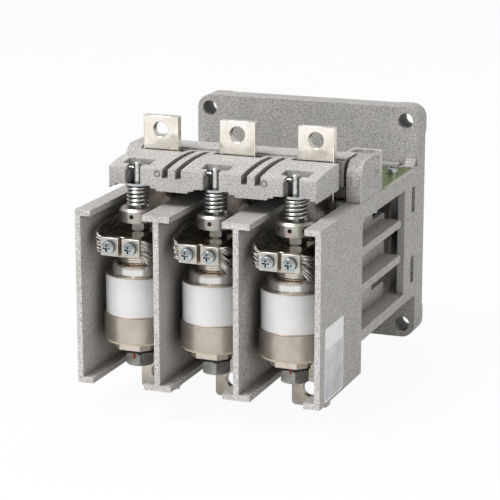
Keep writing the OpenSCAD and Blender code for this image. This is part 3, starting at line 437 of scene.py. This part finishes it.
def solder_mask():
    material, tree, surface, place = begin("green_solder_mask", Roughness=0.28,
                                           Coat_Weight=0.3, Coat_Roughness=0.1)
    # Long copper tracks under the mask, 2.6 mm apart, with a step across here and there
    tracks = add(tree, "ShaderNodeTexBrick", {
        "Vector": place, "Scale": per_metre(26), "Brick Width": 1.3, "Row Height": 0.1,
        "Mortar Size": 0.014, "Color1": colour("#3F511D"), "Color2": colour("#465A20"),
        "Mortar": colour("#54682B")}, offset=0.37, offset_frequency=3)
    # The sawn edge has no mask and shows the pale glass laminate
    facing = add(tree, "ShaderNodeSeparateXYZ", {
        0: add(tree, "ShaderNodeNewGeometry").outputs["Normal"]}).outputs["Z"]
    upright = add(tree, "ShaderNodeMath", {0: facing}, operation="ABSOLUTE").outputs[0]
    board = mixed(tree, between(tree, upright, 0.3, 0.7), colour("#D9D6A8"),
                  tracks.outputs["Color"])
    tree.links.new(board, surface.inputs["Base Color"])
    relief(tree, surface, tracks.outputs["Fac"], 0.05, 0.5)
    return material


print("recipes for insulation ready")

# %% Insulation of this contactor
alumina = glazed_alumina()
# Cream board: matt and slightly fibrous
pressed_board = filled_plastic("pressed_insulating_board", "#EFE5D2", "#DCCDB2", 0.6, 0.8)
# Washers turned from black nylon: a dull sheen
black_nylon = filled_plastic("black_nylon", "#1D1D1E", "#28282A", 0.42, 0.7)
# Rubber swallows nearly all light
stop_rubber = filled_plastic("moulded_rubber", "#242424", "#303030", 0.8, 0.5, 0.06)
# Glass fibre greys the nylon of the bobbins
bobbin_nylon = filled_plastic("glass_filled_nylon", "#2C2D30", "#3A3B3F", 0.5, 0.7)
# Cases of the board's components, moulded smooth
part_plastic = filled_plastic("moulded_component_case", "#26282B", "#303338", 0.38, 0.6)
# Screen print on the label: an even white film
white_print = filled_plastic("white_screen_print", "#F4F4F2", "#ECECEA", 0.4, 2.0, 0.003)
# Sealing lacquer dries glossy and a little uneven
sealing_lacquer = filled_plastic("red_sealing_lacquer", "#B8231C", "#961813", 0.32, 0.8, 0.05)
winding = enamelled_winding()
board_finish = solder_mask()
print("finishes:", len(FINISHES))

# %% [markdown]
# ## Finishes on the CAD nodes
#
# Each node that keeps its own shape gets its finish here, by the material slot that the
# record gives it.

# %% Which slot wears which finish
SLOT_FINISH = {
    "grey_moulding": grey_moulding, "tinned_copper": tinned_bar, "copper": bare_copper,
    "ceramic": alumina, "band_steel": drawn_steel, "cup_metal": satin_nickel,
    "shield_metal": magnet_steel, "zinc": zinc_plate, "spring_steel": spring_wire,
    "magnet_steel": magnet_steel, "braid": tinned_wire, "insulator": pressed_board,
    "black_washer": black_nylon, "rubber": stop_rubber, "bobbin": bobbin_nylon,
    "winding": winding, "board": board_finish, "board_plastic": part_plastic,
    "bush": bronze,
}
slot_of_node = {part["node"]: part["material_slot"] for part in frame["record"]["subparts"]}


def wear(obj, finish):
    obj.data.materials.clear()
    obj.data.materials.append(finish)


for name, node in frame["nodes"].items():
    wear(node, SLOT_FINISH[slot_of_node[name]])
for pole in POLES:
    wear(frame["nodes"][f"spring_collar_{pole}"], yellow_zinc)
    wear(frame["nodes"][f"pull_rod_{pole}"], spring_wire)
wear(frame["nodes"]["lower_nuts"], grey_zinc)
print("dressed nodes:", len(slot_of_node))

# %% [markdown]
# ## Pieces with broken edges
#
# No moulding or sawn bar has a knife edge: the light catches a narrow round along each one.
# The solid has sharp edges, so a copy of its mesh is merged, its flat faces are joined up,
# and a narrow bevel is laid along every edge that is sharper than about 35 degrees. The
# copy then stands in for the node. Where a bevel meets a fine step it would cross itself.
# Blender's overlap clamp prevents this, but it narrows the bevel on the whole piece, so the
# three big mouldings get only a hair's width of it. The rounds of the mouldings and the front
# faces of the barriers, which are the mould's parting face, wear a paler grey as a painted
# highlight.

# %% Helper: a new piece from a finished bmesh
def new_piece(name, shape, finish, body, replaced=(), smooth_below=None):
    mesh = bpy.data.meshes.new(name)
    bmesh.ops.recalc_face_normals(shape, faces=shape.faces)
    shape.to_mesh(mesh)
    shape.free()
    obj = into_scene(name, mesh)
    obj.data.materials.append(finish)
    if smooth_below is not None:
        mesh.shade_smooth()
        mesh.set_sharp_from_angle(angle=math.radians(smooth_below))
    if body is not None:
        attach(obj, body)
    if replaced:
        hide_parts(*replaced)
    return obj


print("materials ready for new pieces:", len(FINISHES))

# %% Helper: a node's copy with its edges broken
SHARP_ANGLE = 35
MERGE_MM = 0.004


def broken_edges(node_name, width_mm, piece_name, finish=None, edge_finish=None,
                 fine_steps=False):
    node = frame["nodes"][node_name]
    shape = bmesh.new()
    shape.from_mesh(node.data)
    bmesh.ops.remove_doubles(shape, verts=shape.verts, dist=MERGE_MM * MM)
    bmesh.ops.dissolve_limit(shape, angle_limit=math.radians(0.5), verts=shape.verts,
                             edges=shape.edges)
    body = body_of(node)[0]
    slot = slot_of_node[node_name]
    piece = new_piece(piece_name, shape, finish or SLOT_FINISH[slot], body,
                      (node_name,), SHARP_ANGLE)
    bevel = piece.modifiers.new("edge", "BEVEL")
    bevel.width = width_mm * MM
    bevel.segments = 2
    bevel.limit_method = "ANGLE"
    bevel.angle_limit = math.radians(SHARP_ANGLE)
    # With fine steps the clamp narrows the round on the whole piece until none crosses itself
    bevel.use_clamp_overlap = fine_steps
    if edge_finish:
        piece.data.materials.append(edge_finish)
        bevel.material = 1
    return piece


print("edges sharper than", SHARP_ANGLE, "degrees are broken")

# %% Mouldings, bars, blocks and ferrules with broken edges
ROCKER_ROUND, MOULDED_ROUND, BAR_ROUND, CRIMP_ROUND = 0.8, 0.4, 0.45, 0.4
FRONT_PLANE = 0.5
broken_edges("rocker", ROCKER_ROUND, "rocker_moulding", pale_moulding, edge_highlight_moulding,
             fine_steps=True)
broken_edges("base_frame", MOULDED_ROUND, "base_moulding", grey_moulding, edge_highlight_moulding,
             fine_steps=True)
barriers = broken_edges("pole_frame", MOULDED_ROUND, "barrier_moulding", grey_moulding,
                        edge_highlight_moulding, fine_steps=True)
# The barriers' front faces take the paler grey, a painted highlight
for face in barriers.data.polygons:
    if face.normal.y < -0.9 and drawn(face.center)[1] < FRONT_PLANE:
        face.material_index = 1
for side in ("left", "right"):
    broken_edges(f"bearing_block_{side}", MOULDED_ROUND, f"bearing_moulding_{side}",
                 grey_moulding, edge_highlight_moulding)
for pole in POLES:
    broken_edges(f"upper_terminal_{pole}", BAR_ROUND, f"upper_bar_{pole}")
    broken_edges(f"lower_terminal_{pole}", BAR_ROUND, f"lower_bar_{pole}", dull_tin)
    broken_edges(f"contact_block_{pole}", BAR_ROUND, f"copper_block_{pole}")
    broken_edges(f"front_ferrules_{pole}", CRIMP_ROUND, f"front_crimps_{pole}", crimped_tin)
broken_edges("rear_ferrules", CRIMP_ROUND, "rear_crimps", crimped_tin)
print("sanded faces:", sum(face.material_index for face in barriers.data.polygons))

# %% [markdown]
# ## Contact springs
#
# Each spring is wound of round wire, its end turns closed and ground flat. A small circle is
# turned round the axis by the spin operator while it climbs, once for each part of the coil:
# a closed turn, the open turns, and a closed turn. The pitch is then right at both ends, and
# the wire stays round because it is turned, not swept by hand.

# %% Helper: a coil of round wire about the Z axis
def wound_wire(coil_d, wire_d, length, turns, steps=28, sides=10, closed=0.9):
    shape = bmesh.new()
    radius = (coil_d - wire_d) / 2 * MM
    made = bmesh.ops.create_circle(shape, segments=sides, radius=wire_d / 2 * MM)
    bmesh.ops.rotate(shape, verts=made["verts"], cent=(0, 0, 0),
                     matrix=Matrix.Rotation(math.pi / 2, 3, "X"))
    bmesh.ops.translate(shape, verts=made["verts"], vec=(radius, 0, wire_d / 2 * MM))
    climb = (length - wire_d) * MM
    lead = closed * wire_d * MM
    open_turns = turns - 2 * closed
    ring = list(shape.edges)
    for share, rise in ((closed, lead), (open_turns, climb - 2 * lead), (closed, lead)):
        count = max(3, round(steps * share))
        spun = bmesh.ops.spin(shape, geom=ring, cent=(0, 0, 0), axis=(0, 0, 1),
                              dvec=(0, 0, rise / count), angle=share * 2 * math.pi,
                              steps=count, use_merge=False, use_duplicate=False)
        ring = [g for g in spun["geom_last"] if isinstance(g, bmesh.types.BMEdge)]
    bmesh.ops.holes_fill(shape, edges=[e for e in shape.edges if e.is_boundary], sides=0)
    return shape


print("a coil takes", wound_wire.__defaults__[0], "steps for each turn")

# %% Three contact springs
CONTACT_WIRE, CONTACT_TURNS = 1.9, 5.2
spring_low, spring_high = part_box("contact_springs")
spring_d = drawn(spring_high)[1] - drawn(spring_low)[1]
spring_len = (spring_high.z - spring_low.z) / MM
for pole in POLES:
    shape = wound_wire(spring_d, CONTACT_WIRE, spring_len, CONTACT_TURNS)
    bmesh.ops.translate(shape, verts=shape.verts,
                        vec=at(pole_x(pole), pole_y, drawn(spring_low)[2]))
    spring = new_piece(f"contact_spring_{pole}", shape, spring_wire,
                       "rocker_arm", ("contact_springs",), 60)
    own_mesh(spring)
    print(spring.name, len(spring.data.polygons), "faces")

# %% [markdown]
# ## Return spring
#
# The spring between the yoke's post and the armature pushes the magnet open. One end stays
# on the post and the other goes with the armature, so it bends between the two bodies.

# %% Return spring behind the armature
RETURN_WIRE, RETURN_TURNS = 1.5, 8
back_low, back_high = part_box("return_spring")
back_len = (back_high.y - back_low.y) / MM
shape = wound_wire((back_high.z - back_low.z) / MM, RETURN_WIRE, back_len, RETURN_TURNS)
bmesh.ops.rotate(shape, verts=shape.verts, cent=(0, 0, 0),
                 matrix=Matrix.Rotation(-math.pi / 2, 3, "X"))
bmesh.ops.translate(shape, verts=shape.verts,
                    vec=(0, back_low.y, (back_low.z + back_high.z) / 2))
opening_spring = new_piece("opening_spring", shape, spring_wire, None,
                           ("return_spring",), 60)
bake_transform(opening_spring, "rocker_arm", "frame",
         start=(0, back_low.y, back_low.z), end=(0, back_high.y, back_low.z))
print("opening spring", round(back_len, 1), "mm")

# %% [markdown]
# ## Braids
#
# Each pole has two flat braids of tinned copper wire. Each leaves its front ferrule
# sideways, curls round beside the block and comes back to the rear ferrule. The left one
# rises on the way and the right one sags and fans out, as loose copper does. A braid is
# made strand by strand: every strand is a thin tube that follows the braid's line and
# wanders across its width and thickness, over and under the others. A real braid has
# hundreds of wires, so each tube stands for a small plait of them.

# %% Helper: a tube along a line
def strand(line, radius_mm, sides=5):
    """One thin tube, made by itself because a small mesh is quick to add to."""
    tube = bmesh.new()
    previous = None
    for i, point in enumerate(line):
        ahead = line[min(i + 1, len(line) - 1)] - line[max(i - 1, 0)]
        made = bmesh.ops.create_circle(
            tube, segments=sides, radius=radius_mm * MM,
            matrix=Matrix.Translation(point) @ ahead.to_track_quat("Z", "Y").to_matrix().to_4x4())
        edges = list({e for v in made["verts"] for e in v.link_edges})
        if previous:
            bmesh.ops.bridge_loops(tube, edges=previous + edges)
        previous = edges
    mesh = bpy.data.meshes.new("strand")
    tube.to_mesh(mesh)
    tube.free()
    return mesh


print("a strand's tube has", strand.__defaults__[0], "sides")

# %% The way of a braid between its ferrules
rear_low, rear_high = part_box("rear_ferrules")
front_low, front_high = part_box("front_ferrules_2")
braid_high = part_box("braids")[1]
ferrule_side = drawn(front_high)[0]
# The outermost strand stays inside the solid that stands for the braid
BRAID_MARGIN = 1.2
braid_reach = drawn(braid_high)[0] - pole_pitch - ferrule_side - BRAID_MARGIN
braid_start = (drawn(front_low)[1] + drawn(front_high)[1]) / 2
braid_end = (drawn(rear_low)[1] + drawn(rear_high)[1]) / 2
braid_middle = (drawn(rear_low)[2] + drawn(rear_high)[2]) / 2
# The left braid (-1) rises and the right one (1) sags and spreads
BRAID_LEAN = {-1: 5.0, 1: -7.0}
BRAID_FAN = {-1: 1.0, 1: 1.7}
BRAID_HALF_WIDTH, BRAID_HALF_THICK, BRAID_SWELL = 5.4, 0.9, 1.3


def braid_point(side, x, t, across, deep):
    """A point of the braid on that side of a pole at x. t runs from front to back, across is
    the share of the half width and deep the share of the half thickness."""
    turn = math.pi * t
    free = math.sin(turn)
    outward = ferrule_side - 0.4 + braid_reach * free ** 0.55
    back = (braid_start + braid_end) / 2 - (braid_end - braid_start) / 2 * math.cos(turn)
    width = BRAID_HALF_WIDTH * (1 + (BRAID_FAN[side] - 1) * free)
    height = width * across + BRAID_LEAN[side] * free ** 0.8
    thick = deep * (BRAID_HALF_THICK + BRAID_SWELL * free)
    return at(x + side * (outward - thick * free), back + thick * math.cos(turn),
              braid_middle + height)


print("braids run from", round(braid_start, 1), "to", round(braid_end, 1), "mm, and reach out",
      round(braid_reach, 1), "mm")

# %% Strands of the six braids
STRANDS, BRAID_STEPS, STRAND_R = 30, 36, 0.31
for pole in POLES:
    bundle = bmesh.new()
    for side in (-1, 1):
        for number in range(STRANDS):
            way = 1 if number % 2 else -1
            line = []
            for step in range(BRAID_STEPS + 1):
                t = step / BRAID_STEPS
                turned = math.tau * (number / STRANDS + way * 0.12 * t)
                wander = noise.noise(Vector((pole * 7 + number, side * 3, t * 5)))
                line.append(braid_point(side, pole_x(pole), t,
                                        math.sin(turned) + 0.5 * wander,
                                        math.cos(turned) * (1 if way > 0 else 0.5)))
            tube = strand(line, STRAND_R)
            bundle.from_mesh(tube)
            bpy.data.meshes.remove(tube)
    braid = new_piece(f"braids_{pole}", bundle, tinned_wire, None, ("braids",), 80)
    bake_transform(braid, f"pole_{pole}", "frame",
             start=at(pole_x(pole), drawn(front_high)[1], braid_middle),
             end=at(pole_x(pole), drawn(rear_low)[1], braid_middle))
    print(braid.name, len(braid.data.polygons), "faces")

# %% [markdown]
# ## Upper caps and braze lines
#
# The cap on each ceramic body is spun from thin nickel-plated steel: a flat braze flange,
# a straight side, a rounded shoulder, and a neck with two rolled grooves that stiffen it.
# A half section is drawn once and turned round the axis by the spin operator. Copper braze
# wets the joint at both ends of the ceramic, and shows as a thin warm line.

# %% Helper: a piece turned on the lathe
def turned_piece(profile, x, y, segments=72):
    """The (radius, height) points in mm, turned round the upright axis at x and y."""
    shape = bmesh.new()
    points = [shape.verts.new(at(x + radius, y, z)) for radius, z in profile]
    edges = [shape.edges.new((points[i - 1], points[i])) for i in range(len(points))]
    bmesh.ops.spin(shape, geom=points + edges, cent=at(x, y, 0), axis=(0, 0, 1),
                   dvec=(0, 0, 0), angle=math.tau, steps=segments, use_merge=True)
    return shape


def arc(centre_r, centre_z, radius, start, end, steps=6):
    return [(centre_r + radius * math.cos(math.radians(start + (end - start) * i / steps)),
             centre_z + radius * math.sin(math.radians(start + (end - start) * i / steps)))
            for i in range(steps + 1)]


print("a full turn takes", turned_piece.__defaults__[0], "steps")

# %% Upper caps
cap_low, cap_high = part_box("upper_cups")
cap_foot, cap_top = drawn(cap_low)[2], drawn(cap_high)[2]
flange_r = (drawn(cap_high)[1] - drawn(cap_low)[1]) / 2
CAP_SIDE_R, CAP_SHOULDER_R, CAP_NECK_R, CAP_NECK_HEIGHT, CAP_WALL = 18.1, 3.6, 12.3, 4.6, 0.9
STEM_HOLE_R, FLANGE_THICK, FOOT_FILLET, NECK_FILLET, RIM_ROUND = 5.6, 0.5, 0.8, 1.0, 0.7
GROOVE_HEIGHTS, GROOVE_R = (1.9, 3.3), 0.32
INNER_SHOULDER_R, INNER_SHOULDER_DROP = 1.5, 3
# A hair above the ceramic, so that the two faces don't flicker
CAP_LIFT = 0.02
shoulder_z = cap_top - CAP_NECK_HEIGHT
fillet_z = cap_foot + 1.4
side_in, neck_in = CAP_SIDE_R - CAP_WALL, CAP_NECK_R - CAP_WALL

outside = [(flange_r, cap_foot + CAP_LIFT), (flange_r, cap_foot + FLANGE_THICK)]
outside += arc(CAP_SIDE_R + FOOT_FILLET, fillet_z, FOOT_FILLET, 270, 180)
outside += arc(CAP_SIDE_R - CAP_SHOULDER_R, shoulder_z - CAP_SHOULDER_R, CAP_SHOULDER_R, 0, 84)
outside += arc(CAP_NECK_R + NECK_FILLET, shoulder_z + NECK_FILLET, NECK_FILLET, 264, 180)
for groove in GROOVE_HEIGHTS:
    outside += arc(CAP_NECK_R, shoulder_z + groove, GROOVE_R, -80, -280, 4)
outside += arc(CAP_NECK_R - RIM_ROUND, cap_top - RIM_ROUND, RIM_ROUND, 0, 90)
inside = [(STEM_HOLE_R, cap_top), (STEM_HOLE_R, cap_top - CAP_WALL),
          (neck_in, cap_top - CAP_WALL), (neck_in, shoulder_z - CAP_WALL),
          (side_in - INNER_SHOULDER_R, shoulder_z - CAP_WALL),
          (side_in, shoulder_z - INNER_SHOULDER_DROP), (side_in, cap_foot + CAP_LIFT)]
SEAM_R, SEAM_SINK, SEAM_LIP = 0.3, 0.25, 0.12
for pole in POLES:
    new_piece(f"upper_cap_{pole}", turned_piece(outside + inside, pole_x(pole), pole_y),
              satin_nickel, "frame", ("upper_cups",), 35)
    # The braze wets each end of the ceramic in a thin bead, most of which is sunk
    for spot, z, lip in (("top", drawn(ceramic_high)[2], SEAM_LIP),
                         ("foot", drawn(ceramic_low)[2], -SEAM_LIP)):
        seam = turned_piece(arc(ceramic_d / 2 - SEAM_SINK, z + lip, SEAM_R, 0, 330, 11),
                            pole_x(pole), pole_y)
        new_piece(f"braze_{spot}_{pole}", seam, braze_line, "frame", (), 60)
print("caps from", round(cap_foot, 2), "to", round(cap_top, 2), "mm")

# %% [markdown]
# ## Label plate
#
# A plate of brushed aluminium is glued into the shallow recess of the right barrier. It
# carries a white printed border and a white field at its upper end. The print is a film with
# a thickness of its own, so its edge catches the light as a raised print does.

# %% Helper: a thin sheet with rounded corners
def rounded_sheet(size_y, size_z, thick, corner_mm):
    """A sheet that faces sideways, with its middle at the origin."""
    shape = bmesh.new()
    bmesh.ops.create_cube(shape, size=1)
    bmesh.ops.scale(shape, verts=shape.verts, vec=(thick * MM, size_y * MM, size_z * MM))
    upright = [e for e in shape.edges if abs(e.verts[0].co.x - e.verts[1].co.x) > thick * MM / 2]
    bmesh.ops.bevel(shape, geom=upright, offset=corner_mm * MM, segments=5, profile=0.5,
                    affect="EDGES", material=-1)
    return shape


print("sheets are made square and rounded afterwards")

# %% Label plate and its print
LABEL_FRONT, LABEL_BACK, LABEL_LOW, LABEL_HIGH = 9.7, 47.3, 1.4, 50.8
RECESS_DEPTH, LABEL_THICK, PRINT_THICK = 0.3, 0.2, 0.05
LABEL_MARGIN, FIELD_MARGIN, FIELD_HEIGHT, PRINT_INSET = 1.2, 1.3, 13.0, 0.3
label_floor = drawn(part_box("pole_frame")[1])[0] - RECESS_DEPTH
print_x = label_floor + LABEL_THICK + PRINT_THICK / 2
label_y, label_z = (LABEL_FRONT + LABEL_BACK) / 2, (LABEL_LOW + LABEL_HIGH) / 2
label_w, label_h = LABEL_BACK - LABEL_FRONT, LABEL_HIGH - LABEL_LOW

shape = rounded_sheet(label_w, label_h, LABEL_THICK, 1.6)
bmesh.ops.translate(shape, verts=shape.verts,
                    vec=at(label_floor + LABEL_THICK / 2, label_y, label_z))
new_piece("label_plate", shape, brushed_aluminium, "frame", (), 30)

# The border is the sheet's outline with its middle left open
shape = rounded_sheet(label_w - PRINT_INSET, label_h - PRINT_INSET, PRINT_THICK, 1.5)
broad = [f for f in shape.faces if abs(f.normal.x) > 0.9]
bmesh.ops.inset_region(shape, faces=broad, thickness=LABEL_MARGIN * MM, use_even_offset=True)
middle = [f for f in shape.faces if abs(f.normal.x) > 0.9 and f.calc_area() > 1e-4]
bmesh.ops.bridge_loops(shape, edges=[e for f in middle for e in f.edges])
bmesh.ops.delete(shape, geom=middle, context="FACES_ONLY")
bmesh.ops.translate(shape, verts=shape.verts, vec=at(print_x, label_y, label_z))
new_piece("label_border", shape, white_print, "frame", (), 30)

shape = rounded_sheet(label_w - 2 * FIELD_MARGIN, FIELD_HEIGHT, PRINT_THICK, 0.6)
bmesh.ops.translate(shape, verts=shape.verts,
                    vec=at(print_x, label_y, LABEL_HIGH - FIELD_MARGIN - FIELD_HEIGHT / 2))
new_piece("label_field", shape, white_print, "frame", (), 30)
print("label", round(label_w, 1), "by", round(label_h, 1), "mm")

# %% [markdown]
# ## Small marks
#
# A fitter draws a stroke of red sealing lacquer over nut and washer once a nut is torqued,
# so that a turned nut shows. The lacquer is a flattened drop that lies on both. The ejector
# pins of the mould leave small round rims on the front of the rocker, which wear a darker
# grey as painted shade.

# %% Sealing lacquer
nut_front = drawn(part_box("lower_nuts")[0])[1]
nut_top = drawn(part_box("lower_nuts")[1])[2]
washer_front = drawn(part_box("lower_washers")[0])[1]


def lacquer_drop(name, x, y, z, width, depth, height, seed):
    """A ball of 1 mm, made a little uneven and then stretched to the given sizes."""
    shape = bmesh.new()
    bmesh.ops.create_icosphere(shape, subdivisions=3, radius=0.5 * MM)
    for vert in shape.verts:
        vert.co *= 1 + 0.25 * noise.noise(vert.co / MM * 2.5 + Vector((seed, 0, 0)))
    bmesh.ops.scale(shape, verts=shape.verts, vec=(width, depth, height))
    bmesh.ops.translate(shape, verts=shape.verts, vec=at(x, y, z))
    new_piece(name, shape, sealing_lacquer, "frame", (), 60)


for pole, length, aside in ((1, 4.2, -0.4), (3, 2.2, 0.3)):
    x = pole_x(pole) + aside
    lacquer_drop(f"lacquer_on_nut_{pole}", x, nut_front + 0.1, nut_top - length / 2, 1.3, 0.5,
                 length, pole)
    lacquer_drop(f"lacquer_on_washer_{pole}", x, washer_front + 0.2, nut_top + 1.6, 2.0, 0.6,
                 2.4, pole + 5)
print("lacquer on nuts 1 and 3")

# %% Ejector marks
rocker_face = drawn(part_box("rocker")[0])[1]
EJECTOR_R, EJECTOR_RIM = 1.8, 0.45
for number, (x, z) in enumerate(((-37.5, 139.1), (36.6, 138.2))):
    shape = bmesh.new()
    rim = bmesh.ops.create_circle(shape, segments=8, radius=EJECTOR_RIM * MM)
    bmesh.ops.rotate(shape, verts=rim["verts"], cent=(0, 0, 0),
                     matrix=Matrix.Rotation(math.pi / 2, 3, "X"))
    bmesh.ops.translate(shape, verts=rim["verts"], vec=(EJECTOR_R * MM, 0, 0))
    bmesh.ops.spin(shape, geom=shape.verts[:] + shape.edges[:], cent=(0, 0, 0), axis=(0, 0, 1),
                   dvec=(0, 0, 0), angle=math.tau, steps=32, use_merge=True)
    bmesh.ops.rotate(shape, verts=shape.verts, cent=(0, 0, 0),
                     matrix=Matrix.Rotation(math.pi / 2, 3, "X"))
    bmesh.ops.translate(shape, verts=shape.verts, vec=at(x, rocker_face + 0.1, z))
    new_piece(f"ejector_mark_{number + 1}", shape, ejector_shade_moulding,
              "rocker_arm", (), 60)
print("ejector marks stand at y", round(rocker_face, 1), "mm")

# %% [markdown]
# ## Floor, light and background
#
# A pale sweep of floor carries the object's shadow. The camera sees the floor and the world
# as near white, which the Light Path node does without putting more light on the object.
# For mirrored rays the floor also glows: a painted reflection that is dim near the object, as
# painted shade at its foot, and grows brighter with distance. A large soft panel from the
# upper left and a weaker one from the right light the object evenly.

# %% Floor
FLOOR_GAP, FLOOR_R = 0.0005, 8
floor_mesh = bpy.data.meshes.new("floor")
shape = bmesh.new()
bmesh.ops.create_circle(shape, segments=48, radius=FLOOR_R, cap_ends=True)
bmesh.ops.translate(shape, verts=shape.verts, vec=(0, 0, cad_box[0][2] - FLOOR_GAP))
shape.to_mesh(floor_mesh)
shape.free()
floor = into_scene("floor", floor_mesh)
print("floor", FLOOR_R, "m in radius")

# %% Paper of the floor
CAMERA_WHITE = 0.94
floor_paint = bpy.data.materials.new("white_studio_floor")
floor_paint.use_nodes = True
tree = floor_paint.node_tree
tree.nodes.clear()
path = add(tree, "ShaderNodeLightPath")
paper = add(tree, "ShaderNodeBsdfDiffuse", {"Color": colour("#DEDEDE")})
white = add(tree, "ShaderNodeEmission", {"Color": (1, 1, 1, 1), "Strength": 1.0})
seen = add(tree, "ShaderNodeMath", {0: path.outputs["Is Camera Ray"], 1: CAMERA_WHITE},
           operation="MULTIPLY")
# For mirrored rays the floor glows as a painted reflection, dim near the object as painted shade and
# brighter farther out
along = add(tree, "ShaderNodeSeparateXYZ", {
    0: add(tree, "ShaderNodeTexCoord").outputs["Object"]}).outputs["Y"]
painted_reflection = add(tree, "ShaderNodeMath", {0: path.outputs["Is Glossy Ray"],
                                   1: between(tree, along, -1.1, -0.35, 1.0, 0.2)},
          operation="MULTIPLY")
seen = add(tree, "ShaderNodeMath", {0: seen.outputs[0], 1: painted_reflection.outputs[0]},
           operation="MAXIMUM")
both = add(tree, "ShaderNodeMixShader", {0: seen.outputs[0], 1: paper.outputs[0],
                                         2: white.outputs[0]})
add(tree, "ShaderNodeOutputMaterial", {"Surface": both.outputs[0]})
floor.data.materials.append(floor_paint)
print("floor shows to the camera at", CAMERA_WHITE)

# %% World
AMBIENT = 0.58
world = bpy.data.worlds.new("studio")
bpy.context.scene.world = world
world.use_nodes = True
tree = world.node_tree
tree.nodes.clear()
path = add(tree, "ShaderNodeLightPath")
direct = add(tree, "ShaderNodeMath", {0: path.outputs["Is Camera Ray"],
                                      1: path.outputs["Is Transmission Ray"]},
             operation="MAXIMUM")
soft = add(tree, "ShaderNodeBackground", {"Color": (1, 1, 1, 1), "Strength": AMBIENT})
plain = add(tree, "ShaderNodeBackground", {"Color": (1, 1, 1, 1), "Strength": 1.0})
both = add(tree, "ShaderNodeMixShader", {0: direct.outputs[0], 1: soft.outputs[0],
                                         2: plain.outputs[0]})
add(tree, "ShaderNodeOutputWorld", {"Surface": both.outputs[0]})
print("ambient light", AMBIENT)


# %% Lamps
def soft_panel(name, place, target, size, power):
    lamp = bpy.data.lights.new(name, "AREA")
    lamp.shape = "ELLIPSE"
    lamp.size, lamp.size_y = size
    lamp.energy = power
    obj = into_scene(name, lamp)
    obj.location = place
    obj.rotation_euler = (Vector(target) - Vector(place)).to_track_quat("-Z", "Y").to_euler()


OBJECT_MIDDLE = (0, -0.1, 0)
soft_panel("key_panel", (-0.61, -0.92, 1.5), OBJECT_MIDDLE, (1.1, 0.9), 24.5)
soft_panel("side_panel", (1.6, -0.7, 0.6), OBJECT_MIDDLE, (1.2, 1.2), 3.8)

# %% [markdown]
# ## Close
#
# The view transform is Standard, so that a colour renders as it is written.

# %% View transform
bpy.context.scene.view_settings.view_transform = "Standard"
